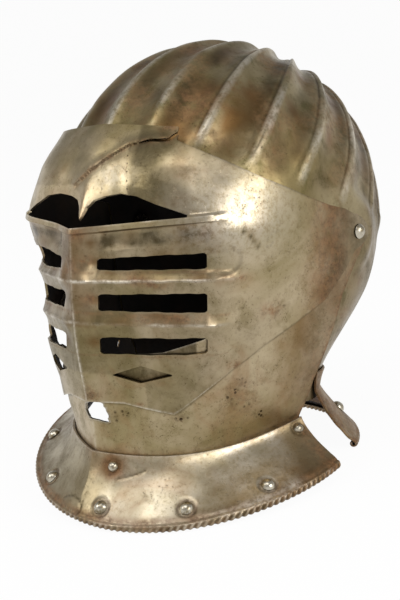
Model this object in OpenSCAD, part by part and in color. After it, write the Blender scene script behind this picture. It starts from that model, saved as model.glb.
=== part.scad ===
// Close helmet of a heavy cavalryman: fluted skull, visor and bevor on two shared pivots,
// with a flaring neck plate at the front and another at the back.
// Worked out upright, x to the wearer's left, y to the back, then laid back on its rims.

/* [Skull] */
// Width of the skull over its sides
skull_w = 192; // [184:1:200]
// Depth of the skull from brow to back
skull_d = 221; // [212:1:230]
// Height of the dome above its widest level
dome_h = 109.5; // [104:0.5:116]
// Thickness of the skull's plate
skull_t = 1.6; // [1.2:0.1:2.2]
// Number of flutes round the crown
flute_n = 20; // [16:4:24]
// Height of the ridges between the flutes
flute_h = 3.2; // [1:0.1:4.5]
// Angle that the crown of the flutes sits behind the top
crown_tilt = 33; // [26:1:38]
// Height of the widest level above the eyes' datum
skull_z = 55; // [50:1:60]
// Level of the skull's brow edge, hidden behind the visor
brow_z = 78; // [74:1:82]
// Level of the skull's lower edge at the nape
nape_z = -60; // [-66:1:-54]
// Depth of the nape behind the skull's middle
nape_d = 59; // [54:1:64]

/* [Pivots] */
// Distance of the pivots behind the datum
pivot_y = 36; // [32:1:40]
// Height of the pivots
pivot_z = 46; // [42:1:50]
// Diameter of a pivot rivet's shank
pivot_d = 5; // [4:0.1:6]
// Diameter of a pivot rivet's domed head
pivot_head_d = 9; // [8:0.5:11]
// Height of a pivot rivet's head
pivot_head_h = 2.8; // [2:0.1:3.5]
// Diameter of the washer that each pivot rivet is closed on
washer_d = 15; // [12:0.5:18]
// Thickness of that washer
washer_t = 1.4; // [1:0.1:2]
// Radial running clearance of the pivots
run_gap = 0.05; // [0.02:0.01:0.1]
// Gap between plates that slide over each other
plate_gap = 0.3; // [0.25:0.05:0.4]

/* [Visor] */
// Thickness of the visor's plate
visor_t = 1.5; // [1.2:0.1:2]
// Reach of the visor's ridge in front of the skull's middle
ridge_reach = 128.3; // [124:0.5:132]
// Angle by which each half of the face falls away from the ridge
prow_angle = 25; // [21:1:29]
// How much blunter the ridge is at the chin, in degrees
chin_round = 5; // [0:0.5:8]
// Swell of the temples beyond the cheeks' round
temple_swell = 9; // [4:0.5:11]
// Where the slots begin beside the ridge, in degrees
slot_in = 7.3; // [6:0.1:9]
// Where the slots end at the cheek, in degrees
slot_out = 39.4; // [36:0.2:42]
// Level of the middle of the upper slot
slot1_z = 30; // [29:0.5:31]
// Level of the middle of the middle slot
slot2_z = 7; // [6:0.5:8]
// Level of the middle of the lower slot
slot3_z = -18; // [-19:0.5:-17]
// Height of the slots
slot_h = 9.4; // [7:0.2:11]
// Height of the embossed ribs between the slots
rib_h = 2.6; // [1:0.2:4]
// Level of the cheek lozenge
lozenge_z = -35.5; // [-37:0.5:-34]
// Height of the cheek lozenge
lozenge_h = 10.5; // [8:0.5:12]
// Level of the lip under the eyes, at the ridge
lip_z = 49; // [47:0.5:51]
// Height of the turned lip
lip_h = 4.4; // [3:0.2:6]
// How far the lip stands out from the face
lip_out = 1.6; // [0.5:0.1:2.5]
// Height of the eye openings' arches above the lip
eye_h = 19; // [15:0.5:21]
// Where the eye openings end, in degrees
eye_out = 34.5; // [32:0.5:36]
// How far the brow stands back behind the lip
brow_back = 5; // [3:0.5:7]
// Swell of the brow over each eye
brow_swell = 3.5; // [1:0.5:5]
// Gap between the brow and the skull behind it
brow_gap = 2.6; // [2.4:0.1:3]
// Level of the visor's upper edge at the middle
visor_top = 110; // [108:0.5:112]
// Height of the raised tab on that edge
tab_h = 7.5; // [4:0.5:9]
// Radius of the visor's ears about the pivots
visor_ear_r = 9; // [8:0.5:10]

/* [Bevor] */
// Thickness of the bevor's plate
bevor_t = 1.5; // [1.2:0.1:2]
// Gap between the bevor and the visor at the chin
chin_gap = 1.6; // [1:0.1:2.5]
// Level of the bevor's upper edge at the chin
chin_z = -27; // [-29:0.5:-25]
// Radius of the bevor's ears about the pivots
bevor_ear_r = 10.5; // [9.5:0.5:12]

/* [Neck plates] */
// Thickness of both neck plates
collar_t = 1.5; // [1.2:0.1:2]
// Level of the neck at the throat
throat_z = -84; // [-86:0.5:-82]
// Width of the front plate over its rim
rim_w = 207; // [198:1:214]
// Depth that the front plate's rim curves over
rim_d = 213; // [206:1:220]
// Level of the rim at the front
rim_z = -121; // [-124:0.5:-118]
// Fall of the front plate to the wearer's left, as the old plates sit
rim_fall = 11.5; // [0:0.5:14]
// Part of the front plate's height that laps the bevor
lap = 0.36; // [0.32:0.02:0.4]
// Depth of the seam where the rear plate laps the skull
nape_lap = 18; // [16:0.5:20]
// Gap between the plates in both riveted seams
seam_gap = 0.7; // [0.5:0.1:1]
// Width of the rear plate over its rim
rear_w = 180; // [170:1:188]
// Radius of the turned edge round both rims
roll_r = 2.6; // [2.2:0.1:3]
// Diameter of the wire inside the turned edge
wire_d = 1.6; // [1.2:0.1:2]

/* [Rivets] */
// Diameter of the lining rivets' domed heads
head_d = 8.5; // [7:0.5:10]
// Height of the lining rivets' heads
head_h = 3; // [2:0.1:3.6]
// Diameter of the seam rivets' domed heads
seam_head_d = 6.5; // [5.5:0.5:8]
// Height of the seam rivets' heads
seam_head_h = 2.5; // [2:0.1:3]
// Diameter of the rivets' shanks
shank_d = 3; // [2.4:0.1:3.6]
// Width of the leather lining bands
band_w = 12; // [10:0.5:14]
// Thickness of the leather lining bands
band_t = 1.6; // [1.2:0.1:2]
// Diameter of the burrs that close the rivets
burr_d = 7; // [6:0.5:8]
// Thickness of those burrs
burr_t = 0.8; // [0.6:0.1:1.2]

/* [Stance] */
// Angle by which the helmet leans back on its rims
lean = 12; // [10:0.5:14]

/* [Hidden] */
$fn = 48;

steel = "#8f8a7c";
dark_steel = "#6f6657";
leather = "#5a3d28";

// The polar axis of all the plates runs up through the middle of the skull
mid_y = 18.8;
// Reach of the visor's round cheeks from the pivots' line
cheek_reach = 170;
// Sharpness of the turn between face and cheek
turn = 20;

// Half widths of the three plates at the pivots, from the skull outwards
skull_x = skull_w / 2;
bevor_x = skull_x + plate_gap + bevor_t;
visor_x = bevor_x + plate_gap + visor_t;
skull_b = skull_d / 2;
// How far the bevor lies inside the visor's outer face
bevor_in = visor_t + chin_gap;
// How far the skull's cheeks lie inside the visor's outer face
skull_in = bevor_in + bevor_t + 0.9;
// Depth of the middle of the front rim
rim_mid = -0.5;

// Smooth step from 0 to 1
function ease(t) = let (u = min(max(t, 0), 1)) u * u * (3 - 2 * u);
function mix(a, b, t) = a + (b - a) * t;
// The lesser of two lengths, with a rounded turn where they meet
function soft_min(a, b) = pow(pow(a, -turn) + pow(b, -turn), -1 / turn);
// Point at an angle from the front, a radius from the polar axis and a level
function spot(th, r, z) = [r * sin(th), mid_y - r * cos(th), z];

// Below the cheeks the face falls more steeply into the throat
jaw_z = -45;
function fall(z) = z < jaw_z ? jaw_z + 0.3 * (z - jaw_z) : z;
function neck_in(z) = 1 - 0.1 * ease((jaw_z - z) / 40);

// Radius of a round cheek, a flattened dome about the pivots' line
function cheek_r(th, z, half, reach) = let (
    w = half * neck_in(z),
    dy = pivot_y - mid_y,
    dz = fall(z) - pivot_z,
    a = pow(sin(th) / w, 2) + pow(cos(th) / reach, 2),
    b = dy * cos(th) / pow(reach, 2),
    c = (dy * dy + dz * dz) / pow(reach, 2) - 1)
    (-b + sqrt(max(b * b - a * c, 0))) / a;

// Reach of the ridge at a level, bowed above the throat
function ridge_r(z) = z > -50
    ? ridge_reach - 0.00152 * pow(z - 30, 2)
    : ridge_reach - 9.73 + 0.1 * (z + 50);

// Radius of the keeled face with its round cheeks, lying some way inside the visor
function face_r(th, z, half, inside) = let (
    t = abs(th),
    prow = prow_angle - chin_round * ease((-8 - z) / 16) * (1 - 0.55 * ease((-60 - z) / 15)),
    d = (ridge_r(z) - inside) * cos(prow),
    flat = d / cos(min(t - prow, 80)))
    soft_min(flat, cheek_r(t, z, half, cheek_reach - inside));

// Radius of the skull's dome, swollen all round by a margin
function dome_r(th, z, more) = let (
    a = skull_x + more,
    b = skull_b + more,
    h = dome_h + more,
    r = 1 / sqrt(pow(sin(th) / a, 2) + pow(cos(th) / b, 2)))
    r * sqrt(max(0.02, 1 - pow((z - skull_z) / h, 2)));

// The visor's outer face: keeled below, following the dome above
dome_out = brow_gap + visor_t;
function visor_face(th, z) =
    mix(face_r(th, z, visor_x, 0), dome_r(th, z, dome_out), ease((z - 45) / 50));
function brow_set(t, z) = brow_back * max(0, 1 - pow(t / 36, 2)) * (1 - ease((z - 60) / 35));
function brow_bulge(t, z) = brow_swell * exp(-pow((t - 17) / 11, 2)) * exp(-pow((z - 72) / 14, 2));
function temple(t, z) = temple_swell * ease((t - 8) / 22) * (1 - ease((t - 50) / 34))
    * ease((z - 24) / 30) * (1 - 0.5 * ease((z - 84) / 24));

// A shell from a grid of points on its outer face: [row][column], rows upwards,
// columns anticlockwise seen from above. keep(i, j) says which cells are there.
function grid_normals(g, ring) = let (rows = len(g), cols = len(g[0]))
    [for (i = [0:rows - 1]) [for (j = [0:cols - 1]) let (
        east = ring ? g[i][(j + 1) % cols] : g[i][min(j + 1, cols - 1)],
        west = ring ? g[i][(j + cols - 1) % cols] : g[i][max(j - 1, 0)],
        up = g[min(i + 1, rows - 1)][j],
        down = g[max(i - 1, 0)][j],
        n = cross(east - west, up - down))
        n / norm(n)]];

module shell(g, t, keep, ring = false, tips = []) {
    cap = len(tips) > 0;
    rows = len(g);
    cols = len(g[0]);
    n = grid_normals(g, ring);
    last = ring ? cols - 1 : cols - 2;
    count = rows * cols;
    function out(i, j) = i * cols + j % cols;
    function in(i, j) = count + i * cols + j % cols;
    function there(i, j) = i >= 0 && i <= rows - 2
        && (ring || (j >= 0 && j <= last)) && keep(i, (j + cols) % cols);
    outer = [for (row = g) for (p = row) p];
    inner = [for (i = [0:rows - 1]) for (j = [0:cols - 1]) g[i][j] - t * n[i][j]];
    skins = [for (i = [0:rows - 2]) for (j = [0:last]) if (there(i, j)) each [
        [out(i, j), out(i + 1, j), out(i + 1, j + 1)],
        [out(i, j), out(i + 1, j + 1), out(i, j + 1)],
        [in(i, j), in(i + 1, j + 1), in(i + 1, j)],
        [in(i, j), in(i, j + 1), in(i + 1, j + 1)]]];
    walls = [for (i = [0:rows - 2]) for (j = [0:last]) if (there(i, j)) each concat(
        there(i - 1, j) ? [] : [[out(i, j), out(i, j + 1), in(i, j + 1)],
                                [out(i, j), in(i, j + 1), in(i, j)]],
        there(i + 1, j) || (cap && i == rows - 2) ? [] :
            [[out(i + 1, j + 1), out(i + 1, j), in(i + 1, j)],
             [out(i + 1, j + 1), in(i + 1, j), in(i + 1, j + 1)]],
        there(i, j - 1) ? [] : [[out(i + 1, j), out(i, j), in(i, j)],
                                [out(i + 1, j), in(i, j), in(i + 1, j)]],
        there(i, j + 1) ? [] : [[out(i, j + 1), out(i + 1, j + 1), in(i + 1, j + 1)],
                                [out(i, j + 1), in(i + 1, j + 1), in(i, j + 1)]])];
    crown = !cap ? [] : [for (j = [0:last]) each [
        [out(rows - 1, j), 2 * count, out(rows - 1, j + 1)],
        [in(rows - 1, j), in(rows - 1, j + 1), 2 * count + 1]]];
    polyhedron(concat(outer, inner, tips), concat(skins, walls, crown), convexity = 8);
}

// Skull: a dome with ridges between hollow flutes, drawn in below to the nape.
// Directions are taken about the crown, where the flutes meet.
crown_axis = [0, sin(crown_tilt), cos(crown_tilt)];
brow_axis = [0, -cos(crown_tilt), sin(crown_tilt)];
function sky(lon, from_crown) = cos(from_crown) * crown_axis
    + sin(from_crown) * (cos(lon) * brow_axis + sin(lon) * [1, 0, 0]);

// Radius of an ellipse whose middle lies off the polar axis
function oval_r(th, a, b, off) = let (
    p = pow(sin(th) / a, 2) + pow(cos(th) / b, 2),
    q = off * cos(th) / pow(b, 2),
    c = pow(off / b, 2) - 1)
    (q + sqrt(q * q - p * c)) / p;
function tight_min(a, b) = pow(pow(a, -60) + pow(b, -60), -1 / 60);
// Radius of the skull below its widest level
low_h = 130;
function skull_low_r(th, z) = let (
    k = ease((42 - z) / (42 - nape_z - 4)),
    side = skull_x + 1 - 24 * k * k,
    back = mix(skull_b, nape_d, k),
    plain = oval_r(th, side, back, 6.8 * k))
    tight_min(plain, cheek_r(th, z, skull_x, cheek_reach - skull_in));
// Level down to which the flutes run, lower towards the back
function flute_end(y) = 74 - 0.354 * y;
function skull_at(lon, from_crown) = let (
    s = sky(lon, from_crown),
    low = s.z < 0,
    th = atan2(s.x, -s.y),
    z = skull_z + (low ? low_h : dome_h) * s.z,
    p = low ? spot(th, skull_low_r(th, z), z)
            : [skull_x * s.x, mid_y + skull_b * s.y, z],
    n = [s.x / skull_x, s.y / skull_b, s.z / dome_h],
    phase = abs(((lon * flute_n / 360 + 0.5) % 1) - 0.5) * 2,
    deep = ease((z - flute_end(p.y) + 6) / 18) * min(1, from_crown / 25),
    q = p + n / norm(n) * flute_h * (pow(1 - phase, 2) - 1 / 3) * deep,
    off = norm([q.y - pivot_y, q.z - pivot_z]),
    side = skull_x * sqrt(max(0.01, 1 - pow(off / (cheek_reach - skull_in), 2))),
    x = abs(q.x) < 20 ? abs(q.x) : tight_min(abs(q.x), side),
    boss = 1 - ease((off - 17) / 14))
    [sign(q.x) * mix(x, side, boss), q.y, q.z];
// Level of the skull's edge at a depth: over the brow, down before the ears, round the nape
function skull_edge(y) = y < pivot_y - 32
    ? brow_z - 12 * (y + 90) / (pivot_y + 58)
    : mix(brow_z - 12, nape_z, ease((y - pivot_y + 32) / 12));
function edge_from(lon, near, far, steps) = let (
    mid = (near + far) / 2,
    p = skull_at(lon, mid))
    steps == 0 ? near : p.z > skull_edge(p.y)
        ? edge_from(lon, mid, far, steps - 1)
        : edge_from(lon, near, mid, steps - 1);

skull_rows = 17;
skull_cols = 4 * flute_n;
crown_gap = 4;
skull_grid = [for (i = [0:skull_rows]) [for (j = [0:skull_cols - 1]) let (
    lon = 360 * j / skull_cols,
    edge = edge_from(lon, 45, 150, 18))
    skull_at(lon, mix(edge, crown_gap, i / skull_rows))]];
crown = skull_at(0, 0.01);

module pivot_bore() {
    for (side = [-1, 1]) translate([side * skull_x, pivot_y, pivot_z])
        rotate([0, 90, 0]) cylinder(h = 24, d = pivot_d + 2 * run_gap, center = true);
}

module skull() {
    color(steel) difference() {
        shell(skull_grid, skull_t, function(i, j) true, ring = true,
              tips = [crown, crown - skull_t * crown_axis]);
        pivot_bore();
        rear_seam_bores();
    }
}

// Bevor: the chin piece, from the throat up to a slanting edge behind the slots
// Its upper edge, as level at each angle from the front
bevor_top = [[0, chin_z], [26, chin_z + 5.5], [38, chin_z + 13], [50, chin_z + 27],
             [62, chin_z + 43], [74, pivot_z - 14], [86, pivot_z], [94, pivot_z + 8],
             [100, pivot_z + bevor_ear_r]];
// Its rear edge, as depth behind the pivot at each level above it
bevor_back = [[-150, -28], [-110, -24], [-78, -18], [-57, -13.6], [-37, -10], [-23, -2.3],
              [-8, 0.75 * bevor_ear_r], [0, bevor_ear_r], [0.6 * bevor_ear_r, 0.8 * bevor_ear_r],
              [bevor_ear_r, 0]];
function bevor_r(th, z) = face_r(th, z, bevor_x, bevor_in);
function bevor_end(z) = 90 + atan((pivot_y + lookup(z - pivot_z, bevor_back) - mid_y)
    / bevor_r(90, z));
// The seam where the front neck plate laps the bevor
function seam_z(th) = throat_z + 26 * (1 - cos(th)) - (th > 0 ? 0.62 : 1.1) * rim_fall * sin(th);
bevor_levels = [0, 0.11, 0.23, 0.35, 0.47, 0.58, 0.68, 0.77, 0.84, 0.895, 0.94, 0.975, 1];
bevor_angles = [0, 5, 12, 20, 28, 36, 44, 52, 60, 67, 74, 81, 87, 93, 99, 105];
function two_sided(half) = [for (k = [len(half) - 1:-1:1]) -half[k], each half];
function bevor_spot(i, a) = let (
    side = sign(a),
    seam_end = seam_z(side * 88),
    end = bevor_end(mix(seam_end, pivot_z + bevor_ear_r, bevor_levels[i])),
    t = abs(a) <= 60 ? abs(a) : mix(60, end, (abs(a) - 60) / 45),
    z = mix(seam_z(side * t), lookup(t, bevor_top), bevor_levels[i]))
    spot(side * t, bevor_r(t, z), z);
// Below the seam the bevor runs on inside the neck plate
bevor_hem = [for (k = [1, 0.5]) [for (a = two_sided(bevor_angles)) let (
    t = abs(a) <= 60 ? a : sign(a) * mix(60, bevor_end(seam_z(sign(a) * 88)), (abs(a) - 60) / 45))
    front_plate_spot(t, k * lap) - (collar_t + seam_gap) * front_normal(t, k * lap)]];
bevor_grid = concat(bevor_hem, [for (i = [0:len(bevor_levels) - 1])
    [for (a = two_sided(bevor_angles)) bevor_spot(i, a)]]);

module bevor() {
    color(steel) difference() {
        shell(bevor_grid, bevor_t, function(i, j) true);
        pivot_bore();
        front_seam_bores();
    }
}

// Front neck plate: flares from the seam to an oval rim with a turned edge
function rim_r(th) = oval_r(th, rim_w / 2, rim_d / 2, mid_y - rim_mid);
function rim_level(th) = let (p = spot(th, rim_r(th), 0))
    rim_z + 0.4 + 0.259 * (p.y - rim_mid + rim_d / 2) - rim_fall * 2 * p.x / rim_w
    + 8.6 * pow(2 * p.x / rim_w, 2);
function front_plate_spot(th, s) = let (
    neck = bevor_r(th, seam_z(th)) + seam_gap + collar_t,
    r = mix(neck, rim_r(th), pow(s, 1.5)))
    spot(th, r, mix(seam_z(th), rim_level(th), s));
front_levels = [0, 0.11, 0.22, 0.42, 0.62, 0.81, 1];
front_half = 20;
function front_end(s) = mix(84.5, 88, s);
// Unit vectors at the rim: along it, out of the plate, and down its slope
function rim_axes(p, q, th) = let (
    down = (p - q) / norm(p - q),
    along = [cos(th), sin(th), 0])
    [along, cross(along, -down), down];
// The edge is turned inward round a wire, three quarters of the way about
turns = [30:32:254];
function turned(p, q, th, phi) = let (
    axes = rim_axes(p, q, th),
    middle = p - roll_r * axes[1])
    middle + roll_r * (cos(phi) * axes[1] + sin(phi) * axes[2]);
function back_to_front(list) = [for (k = [len(list) - 1:-1:0]) list[k]];
front_grid = back_to_front(concat(
    [for (s = front_levels) [for (j = [-front_half:front_half])
        front_plate_spot(front_end(s) * j / front_half, s)]],
    [for (phi = turns) [for (j = [-front_half:front_half]) let (
        th = front_end(1) * j / front_half)
        turned(front_plate_spot(th, 1), front_plate_spot(th, 0.93), th, phi)]]));

// The whole helmet leans back until both rims touch the floor
slope = tan(lean);
floor_z = min([for (row = front_grid) for (p = row) p.z - slope * p.y]);

// Rear neck plate: laps outside the nape and flares to its own turned rim
rear_d = 150;
rear_mid = 30;
rear_top = nape_z + nape_lap;
rear_levels = [0, 0.12, 0.25, 0.35, 0.5, 0.67, 0.84, 1];
rear_cols = 34;
function rear_start(s) = mix(99, 116, s);
function rear_rim_r(th) = oval_r(th, rear_w / 2, rear_d / 2, mid_y - rear_mid);
function rear_spot(th, s, drop) = let (
    rim = rear_rim_r(th),
    low = floor_z + slope * (mid_y - rim * cos(th)) - drop,
    z = mix(rear_top, low, s),
    neck = skull_low_r(th, z) + seam_gap + collar_t)
    spot(th, mix(neck, rim, pow(max(0, s - 0.25) / 0.75, 1.1)), z);
function rear_angle(s, j) = mix(rear_start(s), 360 - rear_start(s), j / rear_cols);
function rear_grid(drop) = back_to_front(concat(
    [for (s = rear_levels) [for (j = [0:rear_cols]) rear_spot(rear_angle(s, j), s, drop)]],
    [for (phi = turns) [for (j = [0:rear_cols]) let (th = rear_angle(1, j))
        turned(rear_spot(th, 1, drop), rear_spot(th, 0.93, drop), th, phi)]]));
rear_drop = min([for (row = rear_grid(0)) for (p = row) p.z - slope * p.y]) - floor_z;
rear_set = rear_grid(rear_drop);
function rear_plate_spot(th, s) = rear_spot(th, s, rear_drop);

// Outward normals of the two neck plates
function normal_at(east, west, up, down) = let (n = cross(east - west, up - down)) n / norm(n);
function front_normal(th, s) = normal_at(
    front_plate_spot(th + 2, s), front_plate_spot(th - 2, s),
    front_plate_spot(th, s - 0.06), front_plate_spot(th, s + 0.06));
function rear_normal(th, s) = normal_at(
    rear_plate_spot(th + 2, s), rear_plate_spot(th - 2, s),
    rear_plate_spot(th, s - 0.06), rear_plate_spot(th, s + 0.06));

// Where the rivets sit, as angle from the front and part of the way down each plate
front_seam_at = [[-80, 0.2], [7.6, 0.2], [81, 0.2]];
front_lining_at = [for (th = [-70, -44.2, -18.4, 7.4, 33.2, 59]) [th, 0.8]];
rear_seam_at = [[130, 0.12], [180, 0.12], [230, 0.12]];
rear_lining_at = [[130, 0.68], [163, 0.68], [197, 0.68], [230, 0.68]];

module facing(p, n) {
    translate(p) rotate([0, acos(n.z), atan2(n.y, n.x)]) children();
}
module on_front(places) {
    for (at = places) facing(front_plate_spot(at[0], at[1]), front_normal(at[0], at[1]))
        children();
}
module on_rear(places) {
    for (at = places) facing(rear_plate_spot(at[0], at[1]), rear_normal(at[0], at[1]))
        children();
}
bore_gap = 0.1;
module shank_bore() {
    cylinder(h = 24, d = shank_d + 2 * bore_gap, center = true);
}
module front_seam_bores() {
    on_front(front_seam_at) shank_bore();
}
module rear_seam_bores() {
    on_rear(rear_seam_at) shank_bore();
}

// A dome of a given width and height standing on z = 0
module dome(d, h) {
    r = (h * h + d * d / 4) / (2 * h);
    intersection() {
        translate([0, 0, h - r]) sphere(r);
        cylinder(h = h + 1, d = d + 2);
    }
}
// A rivet through a stack of plates, clenched over its burr
seat = 0.22;
seam_seat = 0.35;
module rivet(d, h, gap, stack) {
    burr_at = stack + seat + burr_t;
    translate([0, 0, gap]) dome(d, h);
    translate([0, 0, -burr_at - 0.4]) cylinder(h = burr_at + 0.4 + gap + 0.5, d = shank_d);
    translate([0, 0, -burr_at - 0.8]) cylinder(h = 0.7, d = shank_d + 1.6);
}
module seam_rivet(stack) {
    rivet(seam_head_d, seam_head_h, seam_seat, stack);
}
module lining_rivet() {
    rivet(head_d, head_h, seat, lining_stack);
}
module burr(stack) {
    translate([0, 0, -stack - seat - burr_t]) difference() {
        cylinder(h = burr_t, d = burr_d);
        translate([0, 0, -1]) cylinder(h = burr_t + 2, d = shank_d + 2 * bore_gap);
    }
}
seam_stack = collar_t + seam_gap + bevor_t + 0.15;
nape_stack = collar_t + seam_gap + skull_t + 0.15;
lining_stack = collar_t + seat + band_t;

module front_neck_plate() {
    color(steel) difference() {
        shell(front_grid, collar_t, function(i, j) true);
        front_seam_bores();
        on_front(front_lining_at) shank_bore();
    }
}
module rear_neck_plate() {
    color(steel) difference() {
        shell(rear_set, collar_t, function(i, j) true);
        rear_seam_bores();
        on_rear(rear_lining_at) shank_bore();
    }
}
module front_seam_rivets() {
    color(dark_steel) on_front(front_seam_at) seam_rivet(seam_stack);
}
module front_seam_burrs() {
    color(dark_steel) on_front(front_seam_at) burr(seam_stack);
}
module front_lining_rivets() {
    color(dark_steel) on_front(front_lining_at) lining_rivet();
}
module front_lining_burrs() {
    color(dark_steel) on_front(front_lining_at) burr(lining_stack);
}
module rear_seam_rivets() {
    color(dark_steel) on_rear(rear_seam_at) seam_rivet(nape_stack);
}
module rear_seam_burrs() {
    color(dark_steel) on_rear(rear_seam_at) burr(nape_stack);
}
module rear_lining_rivets() {
    color(dark_steel) on_rear(rear_lining_at) lining_rivet();
}
module rear_lining_burrs() {
    color(dark_steel) on_rear(rear_lining_at) burr(lining_stack);
}

// Leather bands held inside the plates by the lining rivets
module front_lining_band() {
    half = 0.5 * band_w / (throat_z - rim_z);
    rows = [for (k = [1, 0, -1]) [for (j = [1 - front_half:front_half - 1]) let (
        s = 0.76 + k * half, th = front_end(s) * j / front_half)
        front_plate_spot(th, s) - (collar_t + seat) * front_normal(th, s)]];
    color(leather) difference() {
        shell(rows, band_t, function(i, j) true);
        on_front(front_lining_at) shank_bore();
    }
}
module rear_lining_band() {
    half = 0.5 * band_w / (rear_top - rear_plate_spot(180, 1).z);
    rows = [for (k = [1, 0, -1]) [for (j = [1:rear_cols - 1]) let (
        s = 0.68 + k * half, th = rear_angle(s, j))
        rear_plate_spot(th, s) - (collar_t + seat) * rear_normal(th, s)]];
    color(leather) difference() {
        shell(rows, band_t, function(i, j) true);
        on_rear(rear_lining_at) shank_bore();
    }
}

// A round wire along a path of points
module wire(path, d) {
    sides = 8;
    count = len(path);
    rings = [for (i = [0:count - 1]) let (
        t = path[min(i + 1, count - 1)] - path[max(i - 1, 0)],
        a = cross([0, 0, 1], t) / norm(cross([0, 0, 1], t)),
        b = cross(t, a) / norm(cross(t, a)))
        for (k = [0:sides - 1])
            path[i] + d / 2 * (cos(360 * k / sides) * a + sin(360 * k / sides) * b)];
    walls = [for (i = [0:count - 2]) for (k = [0:sides - 1]) let (
        m = (k + 1) % sides) each [
        [i * sides + k, (i + 1) * sides + m, i * sides + m],
        [i * sides + k, (i + 1) * sides + k, (i + 1) * sides + m]]];
    ends = [[for (k = [0:sides - 1]) k], [for (k = [sides - 1:-1:0]) (count - 1) * sides + k]];
    polyhedron(rings, concat(walls, ends), convexity = 6);
}
module front_edge_wire() {
    color(dark_steel) wire([for (j = [-front_half:front_half]) let (
        th = 0.995 * front_end(1) * j / front_half,
        p = front_plate_spot(th, 1))
        p - roll_r * rim_axes(p, front_plate_spot(th, 0.93), th)[1]], wire_d);
}
module rear_edge_wire() {
    color(dark_steel) wire([for (j = [0:rear_cols]) let (
        th = 180 + 0.995 * (rear_angle(1, j) - 180),
        p = rear_plate_spot(th, 1))
        p - roll_r * rim_axes(p, rear_plate_spot(th, 0.93), th)[1]], wire_d);
}

// Visor: the keeled face, with eye openings, three slots a side and a lozenge below
visor_angles = [0, 1.4, 3.6, slot_in, 13.4, 19.3, 25.4, 29.5, eye_out, slot_out,
                44, 49, 55, 61, 67, 73, 79, 85, 90, 94, 98, 101.5, 105.1];
// Lower edge, as levels at angles from the front
visor_low = [[0, slot3_z - 35.8], [12.7, slot3_z - 35.1], [28.4, slot3_z - 40.8],
             [38.1, slot3_z - 27.4], [46.4, slot3_z - 15.7], [58.6, slot3_z - 0.7],
             [72.6, slot3_z + 12.8], [84.3, pivot_z - 40], [89.4, pivot_z - 30],
             [94, pivot_z - 21], [98, pivot_z - 11], [101.5, pivot_z - 0.96 * visor_ear_r],
             [105.1, pivot_z - 0.35 * visor_ear_r]];
// Upper edge without its tab
visor_high = [[0, visor_top - 7.5], [29.5, visor_top - 10.3], [42.9, visor_top - 20.7],
              [55.8, visor_top - 32], [70.5, pivot_z + 22.8], [84.1, pivot_z + 16.2],
              [91.9, pivot_z + 14], [97, pivot_z + 1.2 * visor_ear_r],
              [101.5, pivot_z + 0.96 * visor_ear_r], [105.1, pivot_z + 0.35 * visor_ear_r]];
// Slots: level, tilt, and how open they are at the ridge and at the cheek
slots = [[slot3_z, 0.045, 1.03, 1], [slot2_z, 0.042, 1, 1.2], [slot1_z, 0.103, 0.72, 0.96]];
function slot_edge(k, t, up) = let (
    s = slots[k],
    part = (t - slot_in) / (slot_out - slot_in))
    s[0] + s[1] * (t - 23) + up * slot_h / 2 * mix(s[2], s[3], part);
function eye_arch(t) = lookup(t, [[0, 5], [1.4, 11.4], [3.6, 15.6], [slot_in, 17.1],
    [13.4, 17.3], [19.3, 14.7], [25.4, 9], [eye_out, 1.5], [50, 1.5]]) * eye_h / 19;
// Levels of the rows near the ridge, and the part of the way up they take at the sides
function lip_top(t) = lip_z + 0.21 * t;
function visor_rows(t) = [
    [lookup(t, visor_low), 0, 0],
    [min(slot3_z - 32, lookup(t, visor_low) + 8), 0.035, 0],
    [slot3_z - 22, 0.065, 0],
    [slot3_z - 12, 0.095, 0],
    [slot_edge(0, t, -1), 0.157, 0],
    [slot_edge(0, t, 1), 0.229, 0],
    [(slot_edge(0, t, 1) + slot_edge(1, t, -1)) / 2, 0.278, 1],
    [slot_edge(1, t, -1), 0.337, 0],
    [slot_edge(1, t, 1), 0.413, 0],
    [(slot_edge(1, t, 1) + slot_edge(2, t, -1)) / 2 + 0.6, 0.47, 1],
    [slot_edge(2, t, -1), 0.517, 0],
    [slot_edge(2, t, 1), 0.576, 0],
    [lip_top(t) - lip_h, 0.708, 0],
    [lip_top(t) - lip_h + 1, 0.73, 2],
    [lip_top(t), 0.749, 2],
    [lip_top(t) + eye_arch(t), 0.77, 3],
    [mix(lip_top(t) + eye_arch(t), lookup(t, visor_high), 0.17), 0.82, 3],
    [mix(lip_top(t) + eye_arch(t), lookup(t, visor_high), 0.36), 0.87, 3],
    [mix(lip_top(t) + eye_arch(t), lookup(t, visor_high), 0.58), 0.92, 3],
    [mix(lip_top(t) + eye_arch(t), lookup(t, visor_high), 0.8), 0.965, 3],
    [lookup(t, visor_high), 1, 3],
    [lookup(t, visor_high) + tab_h, 1, 3]];
function visor_spot(i, a) = let (
    t = abs(a),
    row = visor_rows(t)[i],
    side = i < 4 ? ease((t - 28) / 16) : ease((t - 41) / 26),
    plain = mix(lookup(t, visor_low), lookup(t, visor_high), row[1]),
    z = i == 0 || i > 19 ? row[0] : mix(row[0], plain, side),
    rib = rib_h * (row[2] == 1 ? ease(t / 7) * (1 - ease((t - 42) / 8)) : 0),
    cheek = i < 5 || i > 11 ? 0
        : rib_h * 0.8 * ease((t - 40) / 8) * (1 - ease((t - 50) / 25)),
    lip = row[2] == 2 ? lip_out * (1 - ease((t - slot_out) / 7)) : 0,
    brow = row[2] == 3 ? brow_bulge(t, z) - brow_set(t, z) : 0)
    spot(a, visor_face(t, z) + temple(t, z) + rib + cheek + lip + brow, z);
visor_grid = [for (i = [0:21]) [for (a = two_sided(visor_angles)) visor_spot(i, a)]];
visor_half = len(visor_angles) - 1;
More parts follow.
